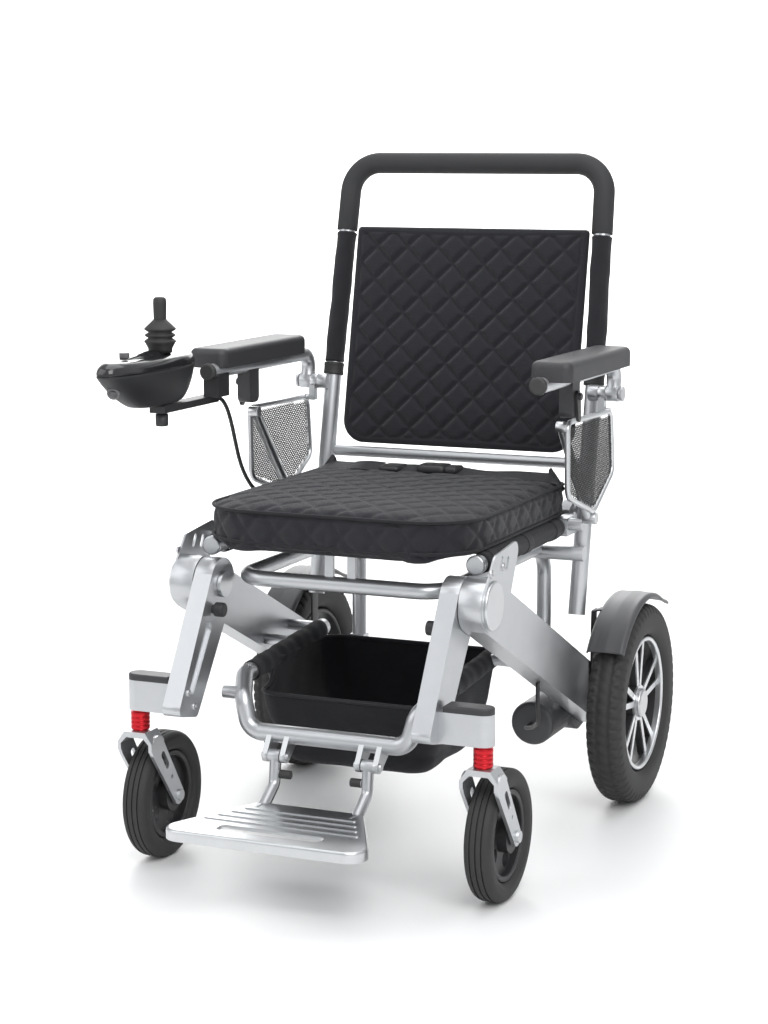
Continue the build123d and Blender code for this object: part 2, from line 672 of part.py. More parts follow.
def socket_cut():
    """Blind socket up the open lower end of the left back tube."""
    low = Vector(BACK_X, back_y(BACK_LOW_Z), BACK_LOW_Z)
    up = Vector(0, sin(radians(RECLINE)), cos(radians(RECLINE)))
    mouth = Plane(origin=low, z_dir=up)
    return extrude(mouth * Circle(SOCKET_R), amount=SOCKET_DEPTH)


def along_back(z0, z1, r_out, r_in):
    """Sleeve round the left back tube between two heights."""
    lean = -(BACK_X - BACK_TOP_X) / (BACK_TOP_Z - 650)
    path = Line(
        (BACK_X + lean * (z0 - 650), back_y(z0), z0),
        (BACK_X + lean * (z1 - 650), back_y(z1), z1),
    )
    start = Plane(origin=path @ 0, z_dir=path % 0)
    return sweep(start * Circle(r_out), path=path) - sweep(start * Circle(r_in), path=path)


def back_sleeve():
    """Fabric sleeve on the back tube with the web to the panel and the collar under it."""
    z0, z1 = SLEEVE_Z
    sleeve = along_back(z0, z1, BACK_R + 2.4, BACK_R + 0.8)
    mid = (z0 + z1) / 2
    web = Pos(0, back_y(mid), mid) * Rot(-RECLINE, 0, 0) * Box(13, 3, (z1 - z0) - 20)
    web = Pos(PANEL_HALF + 6.7, 0, 0) * web
    web -= along_back(z0 - 5, z1 + 5, BACK_R + 0.8, BACK_R - 12)
    collar = along_back(z0 - 20, z0 - 1, BACK_R + 2.8, BACK_R + 0.8)
    return [sleeve + web, collar]


def back_grip():
    """Foam grip over the top of the push frame."""
    low = SLEEVE_Z[1] + 3
    lean = (BACK_X - BACK_TOP_X) / (BACK_TOP_Z - 650)
    points = [
        (BACK_X - lean * (low - 650), back_y(low), low),
        (BACK_TOP_X, back_y(BACK_TOP_Z), BACK_TOP_Z),
    ]
    points += [(-x, y, z) for x, y, z in points[::-1]]
    return bent_bar(points, [46, 46], GRIP_R, BACK_R + 0.1)


def back_panel():
    """Padded panel between the back tubes, rounded at its lower corners."""
    mid = sum(PANEL_Z) / 2
    height = (PANEL_Z[1] - PANEL_Z[0]) / cos(radians(RECLINE))
    panel = Box(2 * PANEL_HALF, PANEL_T, height)
    corners = panel.edges().filter_by(Axis.Y).group_by(Axis.Z)
    panel = fillet(corners[0], 34)
    corners = panel.edges().filter_by(Axis.Y).group_by(Axis.Z)
    panel = fillet(corners[-1], 6)
    return Pos(0, back_y(mid), mid) * Rot(-RECLINE, 0, 0) * panel


# ---- side guards and armrests ----
def guard_loop():
    """Corners of the guard's thin frame, as (y, z)."""
    return [(62.0, 606.0), (262.0, 602.0), (274.0, 510.0), (184.0, 462.0), (66.0, 500.0)]


def guard_frame():
    """Thin closed frame, the diagonal strut and the eye on the armrest pivot."""
    ring = [Vector(GUARD_X, y, z) for y, z in guard_loop()]
    top = (ring[0] + ring[1]) / 2
    low = (ring[2] + ring[3]) / 2
    frame = bent_bar([top, ring[1], ring[2], low], [18, 20], GUARD_ROD_R)
    frame += bent_bar([top, ring[0], ring[4], ring[3], low], [12, 20, 26], GUARD_ROD_R)
    y, z = ARM_PIVOT
    eye_in = BACK_X + 15.6
    eye = rod_x(12, eye_in, eye_in + 11.4, y, z)
    eye += block((eye_in + 2, eye_in + 11.4), (y - 14, y - 3), (600, z - 6))
    eye += block((eye_in + 2, GUARD_X), (y - 14, y - 3), (598, 607))
    eye -= rod_x(ARM_PIVOT_PIN_R + RUN_GAP, eye_in - 1, eye_in + 30, y, z)
    strut = bent_bar([(STRUT_X, *STRUT_TOP), (STRUT_X, 125, 524), (STRUT_X, *STRUT_LOW)], [900], STRUT_R)
    strut += rod_x(STRUT_R + 2, STRUT_X - STRUT_R, STRUT_X + 13, *STRUT_LOW)
    strut += rod_x(STRUT_R + 1, STRUT_X - STRUT_R, STRUT_X + 9, *STRUT_TOP)
    return frame + eye + strut


def guard_mesh():
    """Mesh panel inside the guard's frame."""
    discs = [(y + (6 if y < 150 else -6), z + (-8 if z > 550 else 8), 4) for y, z in guard_loop()]
    panel = slab_x(hull_of(discs), GUARD_X - 0.5, GUARD_X + 1.0)
    return panel - guard_frame()


def rest_tube():
    """Armrest tube bent down to the pivot eye, with its round front cap."""
    y, z = ARM_PIVOT
    points = [(REST_X, REST_FRONT, REST_Z), (REST_X, y + 8, REST_Z), (REST_X, y + 1, z)]
    tube = bent_bar(points, [22], REST_R)
    x0 = BACK_X + 27.4
    tube -= rod_x(14, REST_X - 20, x0, y, z)
    tube += rod_x(12, x0, x0 + 18, y, z)
    tube -= rod_x(ARM_PIVOT_PIN_R + RUN_GAP, x0 - 1, x0 + 25, y, z)
    tube -= rod_x(13, x0 + 18, x0 + 30, y, z)
    cap = rod_y(REST_R + 1.5, REST_FRONT - 7, REST_FRONT, REST_X, REST_Z)
    cap = fillet(cap.faces().sort_by(Axis.Y)[0].edges(), 4)
    return [max(tube.solids(), key=lambda solid: solid.volume), cap]


def rest_pad():
    """Moulded pad on the tube, and the post under it."""
    pad = block(PAD_X, PAD_Y, PAD_Z)
    pad = fillet(pad.edges().filter_by(Axis.Z), 14)
    pad = fillet(pad.faces().sort_by(Axis.Z)[-1].edges(), 9)
    pad -= rod_y(REST_R, PAD_Y[0] - 1, PAD_Y[1] + 1, REST_X, REST_Z)
    post = block((REST_X - 9, REST_X + 11), POST_Y, (POST_LOW, REST_Z - 4))
    post = fillet(post.edges().filter_by(Axis.X).group_by(Axis.Z)[0], 10)
    post -= rod_y(REST_R, 0, 100, REST_X, REST_Z)
    return [pad, post]


def rest_lever():
    """Latch lever on the outer side of the post."""
    x0 = REST_X + 11 + SIDE_GAP
    y, z = lever_pivot()
    lever = slab_x(hull_of([(y, z, 8), (y + 4, z - 30, 6)]), x0, x0 + 4)
    return lever + rod_x(5, x0 + 4, x0 + 8, y, z)


def lever_pivot():
    """Latch lever's pivot, as (y, z)."""
    return sum(POST_Y) / 2, REST_Z - 26


# ---- joystick pod ----
def pod_bracket():
    """Flat bar and clamp that carry the pod under the right armrest tube."""
    top = POD_Z[0] - 2
    bar = block((POD_X - 8, POD_X + 16), (POD_PIVOT_Y - 14, -25), (top - 10, top))
    clamp = block((-REST_X - 12, -REST_X + 12), (-60, -25), (top, REST_Z - 4))
    clamp -= rod_y(REST_R, -70, -10, -REST_X, REST_Z)
    bar -= rod_z(4 + RUN_GAP, top - 12, top + 1, POD_X + 4, POD_PIVOT_Y)
    return bar + clamp


def pod_outline(inset=0.0):
    """Top view of the pod, as a boat with rounded ends."""
    front, rear = POD_Y
    return make_hull(
        (Pos(POD_X, front + 24) * Circle(24 - inset)).edges()
        + (Pos(POD_X, (front + rear) / 2 - 8) * Circle(POD_HALF - inset)).edges()
        + (Pos(POD_X, rear - 17) * Circle(17 - inset)).edges()
    )


def pod_shell():
    """Lower shell with the charging socket in its nose, the cover, and the mounting screw with its knob."""
    seam = POD_Z[1] - 24
    wall = 3.0
    lower = loft([Plane.XY.offset(POD_Z[0]) * pod_outline(POD_TUCK), Plane.XY.offset(seam) * pod_outline()])
    floor = POD_Z[0] + wall
    floor_outline = Plane.XY.offset(floor) * pod_outline(POD_TUCK + wall - 1)
    lower -= loft([floor_outline, Plane.XY.offset(seam) * pod_outline(wall)])
    cover = extrude(Plane.XY.offset(seam) * pod_outline(), amount=POD_Z[1] - seam)
    cover = fillet(cover.faces().sort_by(Axis.Z)[-1].edges(), 14)
    hollow = extrude(Plane.XY.offset(seam) * pod_outline(wall), amount=POD_Z[1] - seam - wall)
    hollow = fillet(hollow.faces().sort_by(Axis.Z)[-1].edges(), 11)
    cover -= hollow
    cover -= rod_z(BOOT_BALL_R - 1.5, seam, POD_Z[1] + 1, POD_X, STICK_Y)
    cover -= rod_z(7.3, seam, POD_Z[1] + 1, POD_X, button_y())
    top = POD_Z[0]
    screw = rod_z(4, top - 14, top, POD_X + 4, POD_PIVOT_Y)
    screw += rod_z(9, top - 30, top - 13, POD_X + 4, POD_PIVOT_Y)
    lip = POD_Y[0] + 3
    collar_back = lip + SOCKET_HOLE_DEPTH + wall
    lower += rod_y(SOCKET_HOLE_R + wall, lip, collar_back, POD_X, SOCKET_HOLE_Z)
    lower -= rod_y(SOCKET_HOLE_R, lip - 10, lip + SOCKET_HOLE_DEPTH, POD_X, SOCKET_HOLE_Z)
    return [lower + screw, cover]


def button_y():
    """How far forward the power button sits."""
    return POD_Y[0] + 66


def power_button():
    """Round key that stands a little proud of the cover."""
    key = rod_z(7, POD_Z[1] - 6, POD_Z[1] + 1.8, POD_X, button_y())
    return fillet(key.faces().sort_by(Axis.Z)[-1].edges(), 0.8)


def gimbal_ring():
    """Ring that lets the stick lean forwards and backwards."""
    ring = rod_z(18, GIMBAL_Z - 8, GIMBAL_Z - 2, POD_X, STICK_Y)
    ring -= rod_z(14, GIMBAL_Z - 9, GIMBAL_Z - 1, POD_X, STICK_Y)
    return Pos(0, 0, -12) * ring


def joystick():
    """Stick rod with its knob."""
    rod = rod_z(4, GIMBAL_Z - 16, 752, POD_X, STICK_Y)
    profile = make_face(
        Polyline((0, 748), (6, 748), (5.5, 762), (10, 768), (11, 775), (9, 780), (4, 782), (0, 782), (0, 748))
    )
    plane = Plane(origin=(POD_X, STICK_Y, 0), x_dir=(1, 0, 0), z_dir=(0, -1, 0))
    knob = revolve(plane * profile, axis=Axis((POD_X, STICK_Y, 0), (0, 0, 1)))
    return rod + knob


def stick_boot():
    """Rubber boot: a dome that turns in the cover's hole, with three ribs above it."""
    dome = Pos(POD_X, STICK_Y, GIMBAL_Z) * Sphere(BOOT_BALL_R)
    dome &= block((POD_X - 40, POD_X + 40), (STICK_Y - 40, STICK_Y + 40), (GIMBAL_Z, GIMBAL_Z + 30))
    dome -= Pos(POD_X, STICK_Y, GIMBAL_Z) * Sphere(BOOT_BALL_R - 2.5)
    boot = dome
    for low, high, r in ((721, 727, 15.5), (730, 736, 13.5), (739, 745, 11.5)):
        rib = rod_z(r, low, high, POD_X, STICK_Y)
        boot += fillet(rib.edges(), 2.5)
    boot += rod_z(8, 714, 747.5, POD_X, STICK_Y)
    return boot - rod_z(4, 600, 800, POD_X, STICK_Y)


def controller_cable():
    """Lead from the end of the pod's bar down to the strut's lower cap on the right side."""
    points = cable_points()
    radii = []
    for before, here, after in zip(points, points[1:], points[2:]):
        run_in = Vector(*here) - Vector(*before)
        run_out = Vector(*after) - Vector(*here)
        turn = radians(run_in.get_angle(run_out))
        radii.append(0.45 * min(run_in.length, run_out.length) / tan(turn / 2))
    print("controller cable radii", [round(r) for r in radii])
    return bent_bar(points, radii, CABLE_R)


def cable_points():
    """The lead's route, chosen by hand."""
    return [
        (-266.0, -25.0, 628.0),
        (-266.0, 0.0, 628.0),
        (-264.0, 19.0, 611.0),
        (-261.0, 29.0, 583.0),
        (-259.0, 36.0, 556.0),
        (-258.0, 46.0, 529.0),
        (-257.5, 62.0, 505.0),
        (-257.0, 84.0, 484.0),
        (-255.0, 110.0, 467.0),
        (-251.0, 136.0, 454.0),
        (-247.0, 159.0, 450.5),
        (-247.0, 178.6, 451.5),
    ]


# ---- write the pieces ----
def pieces():
    """Every node's name and its solids, before the shift to the origin."""
    nodes = {
        "rear_arms": both(rear_arm()),
        "hub_drums": both(hub_drum()),
        "battery_packs": both(battery_pack()),
        "seat_tubes": seat_tube() + [mirrored(piece) for piece in seat_tube()],
        "seat_sling": [seat_sling()],
        "seat_cushion": [seat_cushion()],
        "seat_loop": [seat_loop()],
        "seat_brackets": both(seat_bracket()),
        "carrier_tube": [carrier_tube()],
        "footplate_hinges": footplate_hinge() + [mirrored(piece) for piece in footplate_hinge()],
        "basket": [basket()],
        "drive_motors": both(drive_motor()),
        "mudguards": both(mudguard()),
        "motor_cables": both(motor_cable()),
        "seat_belt": seat_belt(),
        "footplate": [footplate()],
        "footplate_arms": footplate_arms(),
        "back_frame": [back_frame()],
        "back_sleeves": back_sleeve() + [mirrored(piece) for piece in back_sleeve()],
        "back_grip": [back_grip()],
        "back_panel": [back_panel()],
        "pod_bracket": [pod_bracket()],
        "pod_shell": pod_shell(),
        "power_button": [power_button()],
        "gimbal_ring": [gimbal_ring()],
        "joystick": [joystick()],
        "stick_boot": [stick_boot()],
        "controller_cable": [controller_cable()],
    }
    sided = {
        "front_leg": front_leg,
        "lock_knob": lock_knob,
        "caster_arm": caster_arm,
        "caster_fork": caster_fork,
        "stem_bush": stem_bush,
        "caster_hub": caster_hub,
        "caster_tyre": caster_tyre,
        "rear_tyre": rear_tyre,
        "rear_rim": rear_rim,
        "rear_shaft": rear_shaft,
        "freewheel_lever": freewheel_lever,
        "guard_frame": guard_frame,
        "guard_mesh": guard_mesh,
        "rest_tube": rest_tube,
        "rest_pad": rest_pad,
        "rest_lever": rest_lever,
    }
    for name, make in sided.items():
        made = make()
        left = made if isinstance(made, list) else [made]
        nodes[name + "_left"] = left
        nodes[name + "_right"] = [mirrored(piece) for piece in left]
    return nodes


def write_all():
    """Write one STEP file per node."""
    os.makedirs("parts", exist_ok=True)
    shift = Location((0, -ORIGIN_Y, 0))
    for name, shapes in pieces().items():
        solids = [solid for shape in shapes for solid in shape.solids()]
        moved = Compound(children=[solid.moved(shift) for solid in solids])
        moved.label = name
        export_step(moved, f"parts/{name}.step")


write_all()
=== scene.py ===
"""Looks of the folding power wheelchair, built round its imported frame.

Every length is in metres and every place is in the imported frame: +X to the user's left, +Y backwards, +Z up.
"""

import json
import logging
import math
from dataclasses import dataclass, field, replace
from enum import Enum
from typing import Callable, Optional, Sequence

import bmesh
import bpy
import numpy as np
from mathutils import Matrix, Vector

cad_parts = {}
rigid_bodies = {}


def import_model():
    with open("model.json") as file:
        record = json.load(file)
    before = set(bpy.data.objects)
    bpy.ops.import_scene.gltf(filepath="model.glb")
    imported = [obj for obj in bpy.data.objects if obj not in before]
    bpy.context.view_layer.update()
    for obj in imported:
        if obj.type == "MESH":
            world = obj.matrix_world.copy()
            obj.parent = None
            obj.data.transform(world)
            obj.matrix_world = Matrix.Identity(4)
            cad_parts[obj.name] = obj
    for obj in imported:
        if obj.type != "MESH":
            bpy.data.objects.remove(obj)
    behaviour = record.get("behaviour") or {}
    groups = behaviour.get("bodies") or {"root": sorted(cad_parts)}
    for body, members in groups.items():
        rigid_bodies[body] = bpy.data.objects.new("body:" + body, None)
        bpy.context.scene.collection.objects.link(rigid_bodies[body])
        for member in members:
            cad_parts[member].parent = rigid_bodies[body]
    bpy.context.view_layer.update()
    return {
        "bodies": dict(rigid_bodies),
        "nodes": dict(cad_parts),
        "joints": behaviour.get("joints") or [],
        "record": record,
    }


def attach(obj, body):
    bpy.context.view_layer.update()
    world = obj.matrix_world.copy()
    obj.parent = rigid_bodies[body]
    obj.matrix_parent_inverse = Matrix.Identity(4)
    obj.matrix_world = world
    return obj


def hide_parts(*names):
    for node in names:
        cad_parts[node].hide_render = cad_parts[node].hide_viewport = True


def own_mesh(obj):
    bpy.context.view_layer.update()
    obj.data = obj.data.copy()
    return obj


LOG = logging.getLogger("wheelchair")
MM = 0.001
DESIGN_SHIFT = Vector((0.0, -16.5 * MM, 0.0))
AXLE_Y = 309.0
AXLE_Z = 152.0
BLOTCH_SHARE = 0.6
BAND_NOISE = 0.4
BRUSH_STRETCH = (0.08, 1.0, 1.0)


class Side(Enum):
    """The two sides of the chair, as the sign of X."""

    LEFT = 1
    RIGHT = -1

    @property
    def tag(self) -> str:
        """Name ending used by the frame's nodes and bodies."""
        return self.name.lower()


class Texture(Enum):
    """What a finish's fine relief looks like."""

    GRAIN = "grain"
    BRUSHED = "brushed"
    WEAVE = "weave"
    WEBBING = "webbing"
    FOAM = "foam"


# ---------------------------------------------------------------- finishes
@dataclass(frozen=True)
class Finish:
    """A procedural surface: two colours mixed by noise, varied roughness and fine relief.

    The relief reads Object coordinates, so it keeps its real size on every piece.
    """

    name: str
    dark: tuple[float, float, float]
    light: tuple[float, float, float]
    rough: tuple[float, float]
    metallic: float = 0.0
    texture: Texture = Texture.GRAIN
    relief_size: float = 1.0 * MM
    relief_depth: float = 0.05 * MM
    blotch_size: float = 40 * MM
    sheen: float = 0.0
    coat: float = 0.0
    specular: float = 0.5
    other: Optional[str] = None
    split: tuple[str, float] = ("Z", 0.0)

    def build(self) -> bpy.types.Material:
        """Make the node material.

        Returns:
            The material, ready to be put in a slot.
        """
        mat = bpy.data.materials.new(self.name)
        mat.use_nodes = True
        tree = mat.node_tree
        shader = tree.nodes["Principled BSDF"]
        coords = tree.nodes.new("ShaderNodeTexCoord")
        place = coords.outputs["Object"]
        blotch = self._noise(tree, place, self.blotch_size, 4.0)
        fine = self._noise(tree, place, self.relief_size * 3, 2.0)
        mix = tree.nodes.new("ShaderNodeMix")
        mix.data_type = "RGBA"
        mix.inputs["A"].default_value = (*self.dark, 1)
        mix.inputs["B"].default_value = (*self.light, 1)
        part = self._math(tree, "MULTIPLY", fine, 1 - BLOTCH_SHARE)
        blend = self._math(tree, "MULTIPLY_ADD", blotch, BLOTCH_SHARE, part)
        tree.links.new(blend, mix.inputs["Factor"])
        tree.links.new(mix.outputs["Result"], shader.inputs["Base Color"])
        span = tree.nodes.new("ShaderNodeMapRange")
        span.inputs["To Min"].default_value = self.rough[0]
        span.inputs["To Max"].default_value = self.rough[1]
        tree.links.new(blend, span.inputs["Value"])
        tree.links.new(span.outputs["Result"], shader.inputs["Roughness"])
        bump = tree.nodes.new("ShaderNodeBump")
        bump.inputs["Distance"].default_value = self.relief_depth
        bump.inputs["Strength"].default_value = 1.0
        tree.links.new(self._relief(tree, place), bump.inputs["Height"])
        tree.links.new(bump.outputs["Normal"], shader.inputs["Normal"])
        shader.inputs["Metallic"].default_value = self.metallic
        shader.inputs["Sheen Weight"].default_value = self.sheen
        shader.inputs["Sheen Roughness"].default_value = 0.5
        shader.inputs["Coat Weight"].default_value = self.coat
        shader.inputs["Coat Roughness"].default_value = 0.12
        shader.inputs["Specular IOR Level"].default_value = self.specular
        if self.other is not None:
            self._second_tone(tree, place, shader)
        return mat

    def _second_tone(self, tree: bpy.types.NodeTree, place: bpy.types.NodeSocket,
                     shader: bpy.types.Node) -> None:
        """Colour, roughness and metal of the other finish where the split's coordinate passes its value.

        The coordinate is X, Y or Z, or AX for the distance from the middle plane; a minus sign before it
        puts the other finish below the value.

        Args:
            tree: The material's node tree.
            place: Socket with the coordinates.
            shader: The shader whose inputs are mixed.
        """
        second = FINISHES[self.other]
        axis, value = self.split
        parts = tree.nodes.new("ShaderNodeSeparateXYZ")
        tree.links.new(place, parts.inputs[0])
        along = parts.outputs[axis[-1]]
        if "A" in axis:
            along = self._math(tree, "ABSOLUTE", along)
        test = self._math(tree, "LESS_THAN" if axis.startswith("-") else "GREATER_THAN", along, value)
        for name, plain in (("Base Color", (*second.light, 1)), ("Roughness", sum(second.rough) / 2),
                            ("Metallic", second.metallic)):
            mix = tree.nodes.new("ShaderNodeMix")
            mix.data_type = "RGBA" if name == "Base Color" else "FLOAT"
            at, result = (6, 2) if name == "Base Color" else (2, 0)
            if shader.inputs[name].is_linked:
                tree.links.new(shader.inputs[name].links[0].from_socket, mix.inputs[at])
            else:
                mix.inputs[at].default_value = shader.inputs[name].default_value
            mix.inputs[at + 1].default_value = plain
            tree.links.new(test, mix.inputs[0])
            tree.links.new(mix.outputs[result], shader.inputs[name])

    @staticmethod
    def _math(tree: bpy.types.NodeTree, operation: str,
              *values: bpy.types.NodeSocket | float) -> bpy.types.NodeSocket:
        """One arithmetic node.

        Args:
            tree: The material's node tree.
            operation: What the node does.
            *values: Its inputs, each a socket to link or a plain number.

        Returns:
            The result's socket.
        """
        node = tree.nodes.new("ShaderNodeMath")
        node.operation = operation
        for slot, value in zip(node.inputs, values):
            if isinstance(value, bpy.types.NodeSocket):
                tree.links.new(value, slot)
            else:
                slot.default_value = value
        return node.outputs[0]

    @staticmethod
    def _noise(tree: bpy.types.NodeTree, place: bpy.types.NodeSocket, size: float,
               detail: float) -> bpy.types.NodeSocket:
        """Noise of a given feature size in metres.

        Args:
            tree: The material's node tree.
            place: Socket with the coordinates.
            size: Feature size in metres.
            detail: How many finer layers are added.

        Returns:
            The socket of the noise's value.
        """
        noise = tree.nodes.new("ShaderNodeTexNoise")
        noise.inputs["Scale"].default_value = 1.0 / size
        noise.inputs["Detail"].default_value = detail
        tree.links.new(place, noise.inputs["Vector"])
        return noise.outputs["Fac"]

    @staticmethod
    def _bands(tree: bpy.types.NodeTree, place: bpy.types.NodeSocket, axis: str,
               period: float) -> bpy.types.NodeSocket:
        """Slightly uneven sine bands across one axis.

        Args:
            tree: The material's node tree.
            place: Socket with the coordinates.
            axis: X, Y or Z.
            period: Distance from band to band in metres.

        Returns:
            The socket of the bands' value.
        """
        wave = tree.nodes.new("ShaderNodeTexWave")
        wave.bands_direction = axis
        wave.inputs["Scale"].default_value = 2 * math.pi / (20 * period)
        wave.inputs["Distortion"].default_value = BAND_NOISE
        wave.inputs["Detail Scale"].default_value = 1.0
        tree.links.new(place, wave.inputs["Vector"])
        return wave.outputs["Fac"]

    def _relief(self, tree: bpy.types.NodeTree, place: bpy.types.NodeSocket) -> bpy.types.NodeSocket:
        """Height field for the bump, by texture.

        Args:
            tree: The material's node tree.
            place: Socket with the coordinates.

        Returns:
            The socket of the height.
        """
        if self.texture is Texture.BRUSHED:
            stretch = tree.nodes.new("ShaderNodeMapping")
            stretch.inputs["Scale"].default_value = BRUSH_STRETCH
            tree.links.new(place, stretch.inputs["Vector"])
            return self._noise(tree, stretch.outputs["Vector"], self.relief_size, 3.0)
        if self.texture is Texture.FOAM:
            cells = tree.nodes.new("ShaderNodeTexVoronoi")
            cells.inputs["Scale"].default_value = 1.0 / self.relief_size
            tree.links.new(place, cells.inputs["Vector"])
            return cells.outputs["Distance"]
        if self.texture in (Texture.WEAVE, Texture.WEBBING):
            total = None
            axes = "XYZ" if self.texture is Texture.WEAVE else "Y"
            for axis in axes:
                band = self._bands(tree, place, axis, self.relief_size)
                if total is None:
                    total = band
                    continue
                total = self._math(tree, "ADD", total, band)
            return total
        return self._noise(tree, place, self.relief_size, 3.0)


FINISHES = {
    "silver_frame": Finish("silver_frame", (0.46, 0.47, 0.49), (0.60, 0.61, 0.62), (0.30, 0.42), 0.88,
                           relief_size=0.5 * MM, relief_depth=0.008 * MM, coat=0.2),
    "silver_bright": Finish("silver_bright", (0.54, 0.55, 0.56), (0.68, 0.69, 0.70), (0.26, 0.38), 1.0,
                            Texture.BRUSHED, 0.8 * MM, 0.004 * MM),
    "black_plastic": Finish("black_plastic", (0.012, 0.012, 0.013), (0.028, 0.028, 0.03), (0.38, 0.55),
                            relief_size=0.5 * MM, relief_depth=0.04 * MM),
    "gloss_black": Finish("gloss_black", (0.008, 0.008, 0.009), (0.016, 0.016, 0.018), (0.12, 0.22), coat=0.6,
                          relief_depth=0.004 * MM),
    "grey_plastic": Finish("grey_plastic", (0.045, 0.046, 0.05), (0.075, 0.076, 0.08), (0.36, 0.5),
                           relief_size=0.6 * MM, relief_depth=0.04 * MM),
    "black_rubber": Finish("black_rubber", (0.012, 0.012, 0.012), (0.03, 0.03, 0.03), (0.5, 0.7),
                           relief_size=0.8 * MM, relief_depth=0.05 * MM),
    "tyre": Finish("tyre", (0.014, 0.014, 0.014), (0.034, 0.033, 0.032), (0.55, 0.8),
                   relief_size=0.9 * MM, relief_depth=0.06 * MM),
    "red_anodised": Finish("red_anodised", (0.5, 0.012, 0.02), (0.66, 0.03, 0.04), (0.22, 0.34), 0.85,
                           relief_depth=0.01 * MM),
    "black_fabric": Finish("black_fabric", (0.008, 0.008, 0.01), (0.02, 0.02, 0.024), (0.78, 0.95),
                           texture=Texture.WEAVE, relief_size=0.9 * MM, relief_depth=0.12 * MM, sheen=0.1,
                           specular=0.3),
    "quilted_fabric": Finish("quilted_fabric", (0.007, 0.007, 0.010), (0.017, 0.017, 0.022), (0.8, 0.96),
                             texture=Texture.WEAVE, relief_size=0.8 * MM, relief_depth=0.1 * MM, sheen=0.16,
                             specular=0.35),
    "mesh_fabric": Finish("mesh_fabric", (0.01, 0.01, 0.01), (0.03, 0.03, 0.03), (0.6, 0.8),
                          texture=Texture.WEAVE, relief_size=0.7 * MM, relief_depth=0.05 * MM),
    "webbing": Finish("webbing", (0.010, 0.010, 0.012), (0.03, 0.03, 0.034), (0.5, 0.7),
                      texture=Texture.WEBBING, relief_size=1.8 * MM, relief_depth=0.25 * MM, sheen=0.05,
                      specular=0.3),
    "foam": Finish("foam", (0.014, 0.014, 0.015), (0.03, 0.03, 0.032), (0.6, 0.8),
                   texture=Texture.FOAM, relief_size=0.9 * MM, relief_depth=0.08 * MM),
    "steel": Finish("steel", (0.45, 0.45, 0.46), (0.62, 0.62, 0.63), (0.24, 0.36), 1.0, Texture.BRUSHED),
    "pad": Finish("pad", (0.022, 0.022, 0.024), (0.045, 0.045, 0.048), (0.42, 0.6),
                  relief_size=1.2 * MM, relief_depth=0.12 * MM),
    "battery": Finish("battery", (0.02, 0.03, 0.08), (0.05, 0.07, 0.15), (0.4, 0.6)),
    "spoke_faces": Finish("spoke_faces", (0.012, 0.012, 0.013), (0.028, 0.028, 0.03), (0.34, 0.5),
                          relief_depth=0.01 * MM, other="silver_bright", split=("AX", 0.2828)),
    "grey_panel": Finish("grey_panel", (0.10, 0.10, 0.105), (0.16, 0.16, 0.165), (0.4, 0.55),
                         relief_size=0.5 * MM, relief_depth=0.03 * MM),
}
for _name, _other, _split in (
    ("arm_and_cap", "black_plastic", ("Z", 0.2671)),
    ("tube_and_cap", "black_rubber", ("-Y", -0.0824)),
    ("arms_and_stops", "black_rubber", ("-AX", 0.0612)),
):
    FINISHES[_name] = replace(FINISHES["silver_frame"], name=_name, coat=0.0, other=_other, split=_split)
_MADE: dict[str, bpy.types.Material] = {}


def finish(name: str) -> bpy.types.Material:
    """The material of a named finish, made once."""
    if name not in _MADE:
        _MADE[name] = FINISHES[name].build()
    return _MADE[name]


def dress(piece: bpy.types.Object, name: str) -> bpy.types.Object:
    """Put a named finish on every slot of a piece and return it."""
    piece.data.materials.clear()
    piece.data.materials.append(finish(name))
    return piece


# ---------------------------------------------------------------- mesh helpers
def row(x: float, y: float, z: float) -> np.ndarray:
    """A place given in the design's millimetres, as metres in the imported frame."""
    return np.array((x * MM, y * MM + DESIGN_SHIFT.y, z * MM))


def in_frame(points: np.ndarray) -> np.ndarray:
    """Points in the design's millimetres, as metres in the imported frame."""
    return points * MM + np.array(DESIGN_SHIFT)


def signed_power(values: np.ndarray, power: float) -> np.ndarray:
    """The size of each value raised to a power, with the value's own sign."""
    return np.sign(values) * np.abs(values) ** power


def turn_angles(count: int) -> np.ndarray:
    """Angles of a full turn, evenly spaced, the last one short of the first."""
    return np.linspace(0, 2 * np.pi, count, endpoint=False)


def thicken(piece: bpy.types.Object, thick: float, offset: float = 0.0) -> None:
    """Give an open skin a thickness in metres, to both sides or, at offset -1, inwards."""
    skin = piece.modifiers.new("thickness", "SOLIDIFY")
    skin.thickness = thick
    skin.offset = offset


def new_mesh(name: str, points: np.ndarray, faces: np.ndarray, smooth: bool = True) -> bpy.types.Object:
    """Put computed points and faces into a mesh object at the origin.

    Args:
        name: The piece's name.
        points: Vertex places, n by 3.
        faces: Quads or triangles as vertex numbers, m by 4 or m by 3.
        smooth: Whether the faces are shaded smooth.

    Returns:
        The new object, linked into the scene.
    """
    mesh = bpy.data.meshes.new(name)
    mesh.from_pydata(points.tolist(), [], faces.tolist())
    mesh.polygons.foreach_set("use_smooth", np.full(len(faces), smooth))
    mesh.update()
    piece = bpy.data.objects.new(name, mesh)
    bpy.context.scene.collection.objects.link(piece)
    return piece


def grid_faces(nu: int, nv: int, wrap_u: bool, wrap_v: bool) -> np.ndarray:
    """Quads of a grid whose point (i, j) has number i * nv + j.

    Args:
        nu: Points along the first parameter.
        nv: Points along the second.
        wrap_u: Whether the last row joins the first.
        wrap_v: Whether the last column joins the first.

    Returns:
        The quads, m by 4.
    """
    i = np.arange(nu if wrap_u else nu - 1)
    j = np.arange(nv if wrap_v else nv - 1)
    ii, jj = np.meshgrid(i, j, indexing="ij")
    i2 = (ii + 1) % nu
    j2 = (jj + 1) % nv
    quads = np.stack([ii * nv + jj, i2 * nv + jj, i2 * nv + j2, ii * nv + j2], axis=-1)
    return quads.reshape(-1, 4)


